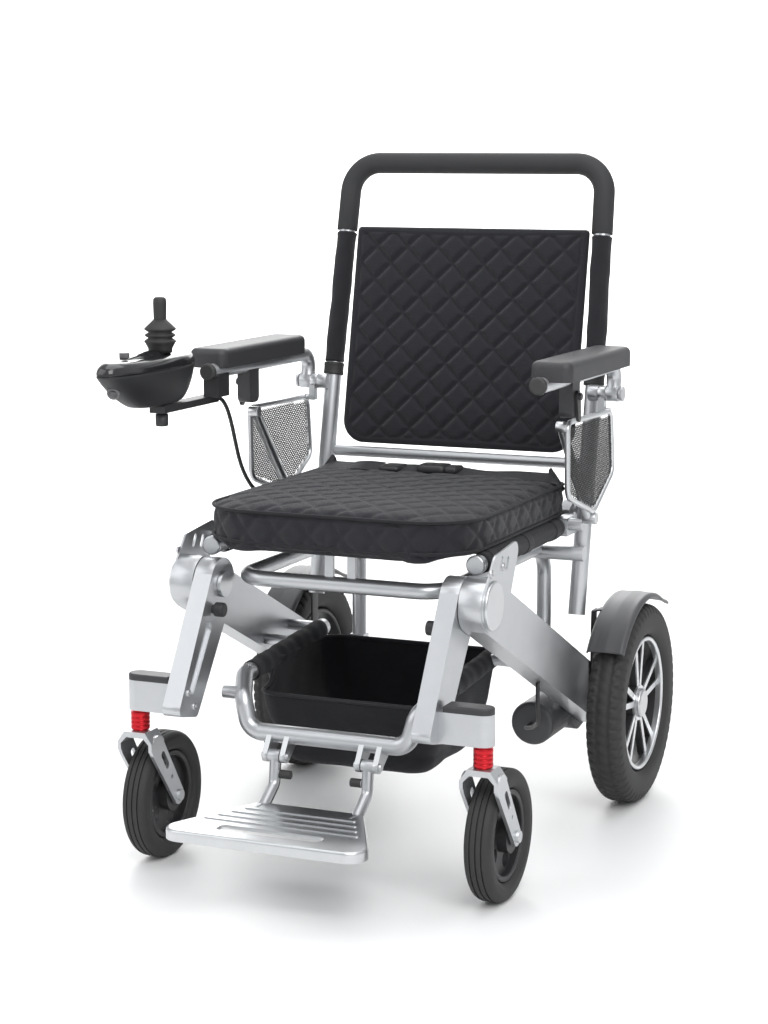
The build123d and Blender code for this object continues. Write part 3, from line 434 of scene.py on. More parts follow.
def surface(name: str, points: np.ndarray, wrap_u: bool = False, wrap_v: bool = False) -> bpy.types.Object:
    """A piece from a grid of points, with its normals made to face outwards.

    Args:
        name: The piece's name.
        points: Grid of places, nu by nv by 3.
        wrap_u: Whether the surface closes along the first parameter.
        wrap_v: Whether it closes along the second.

    Returns:
        The new object.
    """
    nu, nv = points.shape[:2]
    piece = new_mesh(name, points.reshape(-1, 3), grid_faces(nu, nv, wrap_u, wrap_v))
    close_up(piece)
    return piece


def close_up(piece: bpy.types.Object) -> None:
    """Merge doubled points and turn every face outwards."""
    work = bmesh.new()
    work.from_mesh(piece.data)
    bmesh.ops.remove_doubles(work, verts=work.verts, dist=1e-6)
    bmesh.ops.dissolve_degenerate(work, dist=1e-7, edges=work.edges)
    bmesh.ops.recalc_face_normals(work, faces=work.faces)
    work.to_mesh(piece.data)
    work.free()
    piece.data.polygons.foreach_set("use_smooth", np.full(len(piece.data.polygons), True))


def turned(name: str, outline: Sequence[tuple[float, float]], centre: Vector, axis: Vector,
           steps: int = 64) -> bpy.types.Object:
    """A turned piece: the outline, as (radius, height along the axis), carried round the axis.

    Each point is centre + axis * height + radius * (side * cos a + up * sin a), for a over a full turn.

    Args:
        name: The piece's name.
        outline: Profile points, from one end on the axis to the other.
        centre: Where height zero is.
        axis: The axis of the turning.
        steps: Points round the turn.

    Returns:
        The new object.
    """
    line = np.array(outline, float)
    w = np.array(axis.normalized())
    guide = np.array((0.0, 0.0, 1.0)) if abs(w[2]) < 0.9 else np.array((0.0, 1.0, 0.0))
    side = np.cross(w, guide)
    side /= np.linalg.norm(side)
    up = np.cross(w, side)
    a = turn_angles(steps)[:, None, None]
    ring = side * np.cos(a) + up * np.sin(a)
    points = np.array(centre) + w * line[None, :, 1:2] + ring * line[None, :, 0:1]
    return surface(name, points, wrap_u=True)


def ribbon(name: str, path: np.ndarray, width_dir: np.ndarray, width: float,
           thick: float) -> bpy.types.Object:
    """A flat strap: a thin rounded rectangle carried along a path.

    Each cross-section lies across the path, its long side along width_dir and its short side along the
    cross product of the path's direction and width_dir.

    Args:
        name: The piece's name.
        path: Middle line, n by 3.
        width_dir: Direction of the width, one for all or n by 3.
        width: Strap width.
        thick: Strap thickness.

    Returns:
        The new object.
    """
    tangent = np.gradient(path, axis=0)
    tangent /= np.linalg.norm(tangent, axis=1, keepdims=True)
    across = np.broadcast_to(width_dir, path.shape).astype(float)
    across = across - tangent * (across * tangent).sum(1, keepdims=True)
    across /= np.linalg.norm(across, axis=1, keepdims=True)
    out = np.cross(tangent, across)
    a = turn_angles(24)
    c = signed_power(np.cos(a), 0.25) * width / 2
    s = signed_power(np.sin(a), 0.6) * thick / 2
    points = path[:, None] + across[:, None] * c[None, :, None] + out[:, None] * s[None, :, None]
    mid0 = np.broadcast_to(path[:1, None], (1, 24, 3))
    mid1 = np.broadcast_to(path[-1:, None], (1, 24, 3))
    return surface(name, np.concatenate([mid0, points, mid1]), wrap_v=True)


def smooth_path(points: Sequence[Sequence[float]], count: int) -> np.ndarray:
    """A smooth line through given points: a cubic (Catmull-Rom) curve sampled evenly in its parameter.

    Args:
        points: The points that the line passes through.
        count: How many samples.

    Returns:
        Places along the line, count by 3.
    """
    knots = np.array(points, float)
    padded = np.concatenate([2 * knots[:1] - knots[1:2], knots, 2 * knots[-1:] - knots[-2:-1]])
    t = np.linspace(0, len(knots) - 1 - 1e-9, count)
    k = t.astype(int)
    f = (t - k)[:, None]
    p0, p1, p2, p3 = padded[k], padded[k + 1], padded[k + 2], padded[k + 3]
    square = (2 * p0 - 5 * p1 + 4 * p2 - p3) * f**2
    cube = (3 * p1 - p0 - 3 * p2 + p3) * f**3
    return 0.5 * (2 * p1 + (p2 - p0) * f + square + cube)


def round_bar(name: str, path: np.ndarray, radius: float, steps: int = 16,
              closed: bool = False) -> bpy.types.Object:
    """A round bar carried along a path, capped at its ends unless the path is closed.

    Args:
        name: The piece's name.
        path: Middle line, n by 3.
        radius: Bar radius.
        steps: Points round the section.
        closed: Whether the path joins up.

    Returns:
        The new object.
    """
    if closed:
        tangent = np.roll(path, -1, axis=0) - np.roll(path, 1, axis=0)
    else:
        tangent = np.gradient(path, axis=0)
    tangent /= np.linalg.norm(tangent, axis=1, keepdims=True)
    spread = np.ptp(path, axis=0)
    guide = np.eye(3)[int(np.argmin(spread))]
    side = np.cross(tangent, guide)
    side /= np.linalg.norm(side, axis=1, keepdims=True)
    up = np.cross(tangent, side)
    a = turn_angles(steps)
    ring = side[:, None] * np.cos(a)[None, :, None] + up[:, None] * np.sin(a)[None, :, None]
    points = path[:, None] + radius * ring
    if closed:
        return surface(name, points, wrap_u=True, wrap_v=True)
    end0 = np.broadcast_to(path[:1, None], (1, steps, 3))
    end1 = np.broadcast_to(path[-1:, None], (1, steps, 3))
    return surface(name, np.concatenate([end0, points, end1]), wrap_v=True)


# ---------------------------------------------------------------- surroundings
@dataclass
class Studio:
    """Pale floor and wall, soft lights and the camera."""

    focal: float = 80.75
    bearing: float = 23.08
    pitch: float = 9.13
    place: tuple[float, float, float] = (1.263, -2.9925, 0.993)

    def build(self) -> None:
        """Make the floor, the wall, the lights and the camera."""
        self._cove()
        self._camera()
        self._light("key", (2.2, -2.6, 3.2), 3.0, 115)
        self._light("fill", (-2.8, -2.2, 2.4), 3.2, 40)
        self._light("top", (0.0, 0.4, 3.6), 3.4, 62)
        self._light("rim", (-1.2, 2.6, 2.4), 2.0, 30)
        self._light("wall", (-1.7, 3.9, 4.2), 3.0, 420, (-3.0, 7.2, 2.0))
        world = bpy.data.worlds.new("studio_air")
        world.use_nodes = True
        world.node_tree.nodes["Background"].inputs["Color"].default_value = (0.95, 0.97, 1.0, 1)
        world.node_tree.nodes["Background"].inputs["Strength"].default_value = 0.62
        bpy.context.scene.world = world
        bpy.context.scene.view_settings.view_transform = "Standard"

    def _cove(self) -> None:
        """Floor that curves up into a wall: straight, a quarter circle, straight, carried sideways."""
        bearing = math.radians(self.bearing)
        t = np.linspace(0, np.pi / 2, 24)
        bend = 1.2
        run = np.concatenate([[-9.0, 6.0], 6.0 + bend * np.sin(t), [6.0 + bend]])
        rise = np.concatenate([[0.0, 0.0], bend * (1 - np.cos(t)), [9.0]])
        wide = np.array([-10.0, 10.0])
        back = np.array((-math.sin(bearing), math.cos(bearing)))
        side = np.array((math.cos(bearing), math.sin(bearing)))
        xy = run[:, None, None] * back + wide[None, :, None] * side
        z = np.broadcast_to(rise[:, None, None], (len(run), 2, 1))
        floor = surface("studio_floor", np.concatenate([xy, z], axis=-1))
        pale = Finish("pale_floor", (0.80, 0.80, 0.795), (0.86, 0.86, 0.855), (0.45, 0.6),
                      relief_depth=0.01 * MM, blotch_size=0.6)
        floor.data.materials.append(pale.build())

    def _camera(self) -> None:
        """Camera at the bearing and pitch that show the front and the left side."""
        lens = bpy.data.cameras.new("camera")
        lens.lens = self.focal
        lens.sensor_fit = "VERTICAL"
        lens.sensor_height = 36
        camera = bpy.data.objects.new("camera", lens)
        camera.location = self.place
        camera.rotation_euler = (math.radians(90 - self.pitch), 0, math.radians(self.bearing))
        bpy.context.scene.collection.objects.link(camera)
        bpy.context.scene.camera = camera

    @staticmethod
    def _light(name: str, place: tuple[float, float, float], size: float, power: float,
               at: tuple[float, float, float] = (0.0, 0.0, 0.45)) -> None:
        """One soft square lamp aimed at a place, which is the seat if none is given."""
        data = bpy.data.lights.new(name, "AREA")
        data.size = size
        data.energy = power
        lamp = bpy.data.objects.new(name, data)
        lamp.location = place
        lamp.visible_camera = False
        aim = Vector(at) - Vector(place)
        lamp.rotation_euler = aim.to_track_quat("-Z", "Y").to_euler()
        bpy.context.scene.collection.objects.link(lamp)


# ---------------------------------------------------------------- frame pieces
@dataclass
class FramePieces:
    """Finishes of the frame's own nodes, with small worked edges on the metal ones."""

    frame: dict
    edge: float = 0.5 * MM
    most_faces: int = 12000
    plain: tuple[str, ...] = ("guard_mesh", "controller_cable", "motor_cables", "battery_packs",
                              "seat_cushion")
    by_finish: dict[str, tuple[str, ...]] = field(default_factory=lambda: {
        "silver_frame": ("rear_arms", "seat_tubes", "seat_loop", "seat_brackets", "carrier_tube", "front_leg",
                         "caster_fork", "back_frame"),
        "arm_and_cap": ("caster_arm",),
        "tube_and_cap": ("rest_tube",),
        "arms_and_stops": ("footplate_arms",),
        "spoke_faces": ("rear_rim",),
        "silver_bright": ("hub_drums", "footplate", "footplate_hinges", "guard_frame"),
        "red_anodised": ("stem_bush",),
        "tyre": ("caster_tyre", "rear_tyre"),
        "black_plastic": ("caster_hub", "lock_knob", "rest_lever", "pod_bracket", "gimbal_ring",
                          "motor_cables"),
        "gloss_black": ("pod_shell",),
        "black_rubber": ("stick_boot", "joystick", "controller_cable"),
        "grey_plastic": ("mudguards", "drive_motors"),
        "grey_panel": ("power_button", "freewheel_lever"),
        "steel": ("rear_shaft",),
        "battery": ("battery_packs",),
        "foam": ("back_grip",),
        "pad": ("rest_pad",),
        "black_fabric": ("back_sleeves", "seat_sling", "basket"),
        "quilted_fabric": ("back_panel", "seat_cushion"),
        "mesh_fabric": ("guard_mesh",),
        "webbing": ("seat_belt",),
    })

    def build(self) -> None:
        """Give every node its finish and soften the hard edges."""
        for name, nodes in self.by_finish.items():
            for stem in nodes:
                for node in (stem, f"{stem}_left", f"{stem}_right"):
                    piece = self.frame["nodes"].get(node)
                    if piece is None:
                        continue
                    dress(piece, name)
                    if len(piece.data.polygons) < self.most_faces and stem not in self.plain:
                        self._shade(piece)

    def _shade(self, piece: bpy.types.Object) -> None:
        """Join the split corners, round the sharp edges a little and shade smoothly."""
        weld = piece.modifiers.new("weld", "WELD")
        weld.merge_threshold = 0.01 * MM
        bevel = piece.modifiers.new("worked_edge", "BEVEL")
        bevel.width = self.edge
        bevel.segments = 2
        bevel.limit_method = "ANGLE"
        bevel.angle_limit = math.radians(38)
        bevel.use_clamp_overlap = True
        bevel.harden_normals = True


# ---------------------------------------------------------------- padded pieces
def round_outline(half_x: float, y_front: float, y_back: float, r_front: float, r_back: float,
                  count: int) -> np.ndarray:
    """Rounded rectangle as count points, evenly spaced along its length, anticlockwise from above.

    Args:
        half_x: Half the width.
        y_front: Front edge.
        y_back: Back edge.
        r_front: Radius of the two front corners.
        r_back: Radius of the two back corners.
        count: How many points.

    Returns:
        Places in the plane, count by 2, starting at the middle of the front.
    """
    quarter = np.linspace(0, np.pi / 2, 40)

    def corner(cx: float, cy: float, r: float, start: float) -> np.ndarray:
        """A quarter circle from the start angle on."""
        return np.stack([cx + r * np.cos(start + quarter), cy + r * np.sin(start + quarter)], axis=1)

    line = np.concatenate([
        [[0.0, y_front]],
        corner(half_x - r_front, y_front + r_front, r_front, -np.pi / 2),
        corner(half_x - r_back, y_back - r_back, r_back, 0),
        corner(-half_x + r_back, y_back - r_back, r_back, np.pi / 2),
        corner(-half_x + r_front, y_front + r_front, r_front, np.pi),
        [[0.0, y_front]],
    ])
    run = np.concatenate([[0], np.cumsum(np.linalg.norm(np.diff(line, axis=0), axis=1))])
    at = np.linspace(0, run[-1], count, endpoint=False)
    return np.stack([np.interp(at, run, line[:, 0]), np.interp(at, run, line[:, 1])], axis=1)


def inflate(piece: bpy.types.Object, pressure: float, reach: float, frames: int = 20) -> None:
    """Let a closed cloth body fill out under its own pressure, never moving further than reach.

    Args:
        piece: The closed mesh; its own points are moved.
        pressure: Cloth pressure.
        reach: Furthest that a point may move, in metres.
        frames: How many steps are run.
    """
    rest = np.empty(len(piece.data.vertices) * 3)
    piece.data.vertices.foreach_get("co", rest)
    cloth = piece.modifiers.new("cloth", "CLOTH")
    cloth.settings.use_pressure = True
    cloth.settings.uniform_pressure_force = pressure
    cloth.settings.effector_weights.gravity = 0
    cloth.settings.quality = 4
    cloth.settings.tension_stiffness = 40
    cloth.settings.bending_stiffness = 2
    for frame_number in range(1, frames + 1):
        bpy.context.scene.frame_set(frame_number)
    graph = bpy.context.evaluated_depsgraph_get()
    baked = bpy.data.meshes.new_from_object(piece.evaluated_get(graph))
    moved = np.empty(len(baked.vertices) * 3)
    baked.vertices.foreach_get("co", moved)
    piece.modifiers.clear()
    bpy.context.scene.frame_set(1)
    step = (moved - rest).reshape(-1, 3)
    length = np.linalg.norm(step, axis=1, keepdims=True)
    step *= np.minimum(1.0, reach / np.maximum(length, 1e-9))
    piece.data.vertices.foreach_set("co", (rest.reshape(-1, 3) + step).ravel())
    piece.data.update()
    bpy.data.meshes.remove(baked)


def seam_depth(distance: np.ndarray, width: float) -> np.ndarray:
    """How deep a stitched seam pulls the cloth: one on the seam, falling off as a bell over width."""
    return np.exp(-((distance / width) ** 2))


def diamond_distance(u: np.ndarray, v: np.ndarray, pitch: float) -> np.ndarray:
    """Distance to the nearest of two families of slanting lines, pitch apart across themselves."""
    a = (u + v) / math.sqrt(2)
    b = (u - v) / math.sqrt(2)
    da = np.abs((a / pitch + 0.5) % 1 - 0.5) * pitch
    db = np.abs((b / pitch + 0.5) % 1 - 0.5) * pitch
    return np.minimum(da, db)


@dataclass
class SeatCushion:
    """Box cushion: quilted crowned top, quilted side band, piping on both edges and a flat underside."""

    half_x: float = 199 * MM
    front: float = -214 * MM + DESIGN_SHIFT.y
    back: float = 211 * MM + DESIGN_SHIFT.y
    low: float = 452.6 * MM
    high: float = 500 * MM
    r_front: float = 80 * MM
    r_back: float = 24 * MM
    crown: float = 9 * MM
    pitch: float = 37 * MM
    seam: float = 4.4 * MM
    quilt_depth: float = 2.4 * MM
    quilt_puff: float = 0.8 * MM
    band_pitch: float = 34 * MM
    band_depth: float = 3.0 * MM
    band_bulge: float = 1.6 * MM
    shoulder: float = 3.0 * MM
    ripple: float = 0.5 * MM
    droop: float = 11 * MM
    piping: float = 2.2 * MM
    pressure: float = 4.0
    reach: float = 3.0 * MM
    count: int = 460

    def build(self) -> None:
        """Make the body and the piping."""
        body = self._body()
        inflate(body, self.pressure, self.reach)
        self._quilt(body)
        dress(body, "quilted_fabric")
        self._finish(body)
        edges = (("top", self.high - 1.5 * MM, 0.0), ("bottom", self.low + 3.5 * MM, 0.4 * MM))
        for name, z, inset in edges:
            piping = self._piping(name, z, inset)
            dress(piping, "black_fabric")
            self._finish(piping)

    def _finish(self, piece: bpy.types.Object) -> None:
        """Ride the frame and stand for the cushion node."""
        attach(piece, "frame")
        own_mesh(piece)
        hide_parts("seat_cushion")

    def _outline(self, inset: float) -> np.ndarray:
        """The outline seen from above, drawn in by inset."""
        return round_outline(self.half_x - inset, self.front + inset, self.back - inset,
                             self.r_front - inset, self.r_back - inset, self.count)

    def _body(self) -> bpy.types.Object:
        """Closed form: rings shrink to the centre on top and underneath, with a band between.

        The top rises from its edge to the crown as one minus the fourth power of the ring's share, and turns
        down at the shoulder; the band bulges as a half sine.
        """
        edge = self._outline(0.0)
        middle_point = np.array((0.0, (self.front + self.back) / 2))
        rings = []
        for share in np.linspace(0, 1, 70)[1:]:
            flat = middle_point + (edge - middle_point) * share
            height = self.high + self.crown * (1 - share**4) - self.shoulder * share**24
            rings.append(np.column_stack([flat, np.full(self.count, height)]))
        for share in np.linspace(0, 1, 22)[1:-1]:
            out = self._outline(-self.band_bulge * math.sin(math.pi * share) + self.band_bulge / 2)
            height = self.high - self.shoulder - (self.high - self.shoulder - self.low) * share
            rings.append(np.column_stack([out, np.full(self.count, height)]))
        for share in np.linspace(1, 0, 14)[:-1]:
            flat = middle_point + (edge - middle_point) * share * 0.992
            rings.append(np.column_stack([flat, np.full(self.count, self.low)]))
        top = np.broadcast_to([*middle_point, self.high + self.crown], (self.count, 3))
        under = np.broadcast_to([*middle_point, self.low], (self.count, 3))
        return surface("cushion", np.stack([top, *rings, under]), wrap_v=True)

    def _quilt(self, body: bpy.types.Object) -> None:
        """Pull the seams in: diamonds on the top and on the band, slight waves, and a drooping front."""
        co = np.empty(len(body.data.vertices) * 3)
        body.data.vertices.foreach_get("co", co)
        co = co.reshape(-1, 3)
        normal = np.empty_like(co)
        body.data.vertex_normals.foreach_get("vector", normal.reshape(-1))
        x, y, z = co.T
        on_top = np.clip((normal[:, 2] - 0.5) / 0.3, 0, 1)
        on_side = np.clip((0.6 - np.abs(normal[:, 2])) / 0.3, 0, 1)
        inner = np.minimum(self.half_x - np.abs(x), np.minimum(y - self.front, self.back - y))
        fade = np.clip(inner / (8 * MM), 0, 1)
        seams = seam_depth(diamond_distance(x, y - self.front, self.pitch), self.seam)
        depth = on_top * fade * seams * self.quilt_depth
        puff = on_top * fade * self.quilt_puff
        around = np.where(np.abs(x) > self.half_x - 12 * MM, y, x)
        side = seam_depth(diamond_distance(around, z - self.low, self.band_pitch), self.seam)
        depth += on_side * side * self.band_depth
        ripple = self.ripple * np.sin(around / (17 * MM)) * np.sin(around / (61 * MM) + 1.3) * on_side
        co += normal * (puff + ripple - depth)[:, None]
        ahead = np.clip((self.front + 50 * MM - y) / (50 * MM), 0, 1)
        under = np.clip((self.high - z) / (self.high - self.low), 0, 1)
        co[:, 2] -= self.droop * ahead**2 * under * np.clip((175 * MM - np.abs(x)) / (30 * MM), 0, 1)
        body.data.vertices.foreach_set("co", co.ravel())
        body.data.update()

    def _piping(self, name: str, z: float, inset: float) -> bpy.types.Object:
        """Round cord sewn along the edge at height z."""
        edge = self._outline(inset)
        line = np.column_stack([edge, np.full(len(edge), z)])
        return round_bar(f"cushion_piping_{name}", line, self.piping, 10, closed=True)


@dataclass
class BackPanel:
    """Quilted panel between the back tubes, with a bound and stitched edge and nearly square top corners."""

    half_x: float = 189 * MM
    low: float = 534 * MM
    high: float = 864 * MM
    thick: float = 20 * MM
    recline: float = math.radians(11.31)
    pitch: float = 36 * MM
    seam: float = 4.2 * MM
    quilt_depth: float = 4.4 * MM
    ring_depth: float = 2.0 * MM
    border: float = 12 * MM
    tape_wide: float = 5.5 * MM
    tape_thick: float = 4.6 * MM
    stitch: tuple[float, float, float] = (1.5 * MM, 0.35 * MM, 0.5 * MM)
    stitch_out: float = 5.4 * MM
    r_low: float = 36 * MM
    r_top: float = 6 * MM

    @property
    def centre(self) -> np.ndarray:
        """Middle of the panel."""
        mid = (self.low + self.high) / 2
        y = (250 * MM + (mid - 455 * MM) * math.tan(self.recline)) + DESIGN_SHIFT.y
        return np.array((0.0, y, mid))

    def place(self, u: np.ndarray, v: np.ndarray, w: np.ndarray) -> np.ndarray:
        """Panel coordinates to the frame: u to the left, v up the panel, w out of its front."""
        up = np.array((0.0, math.sin(self.recline), math.cos(self.recline)))
        front = np.array((0.0, -math.cos(self.recline), math.sin(self.recline)))
        side = np.array((1.0, 0.0, 0.0))
        return self.centre + u[..., None] * side + v[..., None] * up + w[..., None] * front

    def build(self) -> None:
        """Make the quilted body, the binding, and stitches along the binding."""
        self._body()
        self._binding()
        self._stitches()

    def _half_height(self) -> float:
        """Half the panel's length along its slope."""
        return (self.high - self.low) / 2 / math.cos(self.recline)

    def _outline(self, inset: float, count: int) -> np.ndarray:
        """Rounded outline in the panel's plane."""
        half = self._half_height()
        r_low = max(self.r_low - inset, 2 * MM)
        r_top = max(self.r_top - inset, 1.5 * MM)
        return round_outline(self.half_x - inset, -half + inset, half - inset, r_low, r_top, count)

    def _body(self) -> None:
        """Front and back skins as rings shrinking to the centre; seams are pressed in on both skins."""
        count, rings = 520, 96
        edge = self._outline(0.0, count)
        share = np.concatenate([np.linspace(0, 1, rings), np.linspace(1, 0, rings // 2)])
        front = np.concatenate([np.ones(rings), -np.ones(rings // 2)])
        u = edge[None, :, 0] * share[:, None]
        v = edge[None, :, 1] * share[:, None]
        inner = (1 - share[:, None]) * np.linalg.norm(edge, axis=1)[None, :]
        puffed = 1 - np.exp(-inner / (9 * MM))
        seams = seam_depth(diamond_distance(u, v + self._half_height(), self.pitch), self.seam)
        seams *= np.clip((inner - self.border) / (4 * MM), 0, 1)
        ring = seam_depth(inner - self.border, 2.2 * MM)
        thick = self.thick / 2 - 1.5 * MM
        pressed = self.quilt_depth * seams
        w = front[:, None] * (thick * (0.45 + 0.55 * puffed) - pressed - self.ring_depth * ring)
        w *= np.where(share[:, None] > 0.999, 0.25, 1.0)
        body = surface("back_quilt", self.place(u, v, w), wrap_v=True)
        dress(body, "quilted_fabric")
        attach(body, "back")
        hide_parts("back_panel")

    def _binding(self) -> None:
        """Folded tape round the edge: a flat rounded section carried along the outline."""
        edge = self._outline(1.5 * MM, 360)
        a = turn_angles(14)
        tangent = np.roll(edge, -1, axis=0) - np.roll(edge, 1, axis=0)
        tangent /= np.linalg.norm(tangent, axis=1, keepdims=True)
        inward = np.stack([-tangent[:, 1], tangent[:, 0]], axis=1)
        flat = edge[:, None] + inward[:, None] * (self.tape_wide * (np.cos(a) + 0.75))[None, :, None]
        w = np.broadcast_to(self.tape_thick * signed_power(np.sin(a), 0.7), flat.shape[:2])
        tape = surface("back_binding", self.place(flat[..., 0], flat[..., 1], w), wrap_u=True, wrap_v=True)
        dress(tape, "black_fabric")
        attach(tape, "back")

    def _stitches(self) -> None:
        """A row of short threads along the binding, made as one mesh of small boxes."""
        edge = self._outline(9.5 * MM, 300)
        tangent = np.roll(edge, -1, axis=0) - edge
        tangent /= np.linalg.norm(tangent, axis=1, keepdims=True)
        long, wide, tall = self.stitch
        box = np.array([(i, j, k) for i in (-1, 1) for j in (-1, 1) for k in (-1, 1)], float)
        across = np.stack([-tangent[:, 1], tangent[:, 0]], axis=1)
        flat = edge[:, None] + tangent[:, None] * (box[:, 0] * long)[None, :, None]
        flat = flat + across[:, None] * (box[:, 1] * wide)[None, :, None]
        w = np.broadcast_to(self.stitch_out + box[:, 2] * tall, flat.shape[:2])
        points = self.place(flat[..., 0], flat[..., 1], w).reshape(-1, 3)
        cube = np.array([(0, 1, 3, 2), (4, 6, 7, 5), (0, 4, 5, 1), (2, 3, 7, 6), (0, 2, 6, 4), (1, 5, 7, 3)])
        faces = (np.arange(len(edge))[:, None, None] * 8 + cube).reshape(-1, 4)
        thread = new_mesh("back_stitches", points, faces, smooth=False)
        dress(thread, "webbing")
        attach(thread, "back")


@dataclass
class Sling:
    """Seat cloth pulled over both seat tubes and round their outer sides."""

    half: float = 197.0
    tube_z: float = 438.0
    radius: float = 13.4
    front: float = -150.0
    back: float = 166.0
    thick: float = 1.2 * MM
    sag: float = 1.6
    wrap: tuple[float, float] = (-70, 88)

    def build(self) -> None:
        wrap = np.radians(np.linspace(*self.wrap, 20))
        round_x = self.half + self.radius * np.cos(wrap)
        round_z = self.tube_z + self.radius * np.sin(wrap)
        right = np.stack([round_x, round_z], axis=1)
        span = np.linspace(self.half - 6, -self.half + 6, 60)
        sag = self.sag * (1 - (span / self.half) ** 2)
        flat = np.stack([span, self.tube_z + self.radius - sag], axis=1)
        section = np.concatenate([right, flat, right[::-1] * (-1, 1)]) * MM
        y = np.linspace(self.front, self.back, 40) * MM + DESIGN_SHIFT.y
        grid = np.empty((40, len(section), 3))
        grid[..., 0] = section[:, 0]
        grid[..., 1] = y[:, None]
        grid[..., 2] = section[:, 1]
        cloth = surface("sling_cloth", grid)
        thicken(cloth, self.thick)
        dress(cloth, "black_fabric")
        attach(cloth, "frame")
        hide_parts("seat_sling")


@dataclass
class Basket:
    """Fabric bin that hangs from sleeves on the two rails; its front rim is lower and its floor sags."""

    half: float = 138.0
    front: float = -148.0
    back: float = 97.0
    rim: float = 264.0
    low: float = 126.0
    dip: float = 34.0
    corner: float = 32.0
    floor_turn: float = 28.0
    floor_sag: float = 3.0
    taper: float = 0.17
    belly: float = 0.035
    cloth: float = 1.6 * MM
    hem: float = 3.0 * MM
    rail_x: float = 150.0
    sleeve: float = 14.0
    sleeve_cloth: float = 1.0 * MM

    def build(self) -> None:
        """Make the bin, its hem and the two sleeves."""
        self._bin()
        for side in Side:
            self._sleeve(side)

    def _rings(self) -> np.ndarray:
        """Rings from the rim down to the middle of the floor.

        A ring's outline is a rounded rectangle; going down it narrows by the taper, then turns in under a
        rounded corner. Walls bow out as a half sine and carry shallow folds.
        """
        count = 240
        base = round_outline(self.half, self.front, self.back, self.corner, self.corner, count)
        mid = np.array((0.0, (self.front + self.back) / 2))
        a = np.arctan2(*(base - mid).T[::-1])
        drop = self.dip * np.clip((-(base[:, 1] - mid[1]) - 45) / 40, 0, 1)
        drop = drop * drop * (3 - 2 * drop / self.dip) / self.dip
        rings = []
        for t in np.linspace(0, 1, 40):
            z = self.rim - drop * (1 - t) - (self.rim - self.low - self.floor_turn) * t
            shrink = 1 - self.taper * t + self.belly * math.sin(math.pi * t)
            fold = 2.2 * t * np.sin(7 * a + 5 * t) + 1.3 * np.sin(13 * a - 9 * t) * t * (1 - t) * 2
            out = (base - mid) * shrink
            out += out / np.linalg.norm(out, axis=1, keepdims=True) * fold[:, None]
            rings.append(np.column_stack([mid + out, z]))
        last = rings[-1]
        for t in np.linspace(0, np.pi / 2, 10)[1:]:
            share = 1 - 0.2 * (1 - math.cos(t))
            flat = mid + (last[:, :2] - mid) * share
            rings.append(np.column_stack([flat, last[:, 2] - self.floor_turn * math.sin(t)]))
        floor = rings[-1]
        for share in np.linspace(1, 0, 16)[1:]:
            flat = mid + (floor[:, :2] - mid) * share
            rings.append(np.column_stack([flat, floor[:, 2] - self.floor_sag * (1 - share**2)]))
        return np.stack(rings)

    def _bin(self) -> None:
        """The bin's cloth with thickness, and a rolled hem round its rim."""
        rings = in_frame(self._rings())
        cloth = surface("basket_cloth", rings, wrap_v=True)
        thicken(cloth, self.cloth)
        dress(cloth, "black_fabric")
        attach(cloth, "frame")
        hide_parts("basket")
        hem = round_bar("basket_hem", rings[0], self.hem, 12, closed=True)
        dress(hem, "webbing")
        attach(hem, "frame")

    def _sleeve(self, side: Side) -> None:
        """Cloth tube round one rail, gathered a little between its ties, with the web down to the bin."""
        y = np.linspace(-140, 92, 90)
        z = 257 + 17 * (y + 158) / 263
        a = turn_angles(28)
        r = self.sleeve + 0.5 * np.sin(y / 9.0) + 0.4 * np.sin(y / 4.3 + 1)
        pull = np.clip(-np.cos(a - np.radians(35)), 0, 1) ** 6
        points = np.empty((len(y), len(a), 3))
        reach = r[:, None] + 2.0 * pull[None]
        points[..., 0] = side.value * (self.rail_x + reach * np.cos(a))
        points[..., 1] = y[:, None]
        points[..., 2] = z[:, None] + reach * np.sin(a)
        tube = surface(f"basket_sleeve_{side.tag}", in_frame(points), wrap_v=True)
        thicken(tube, self.sleeve_cloth, -1)
        dress(tube, "black_fabric")
        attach(tube, "frame")


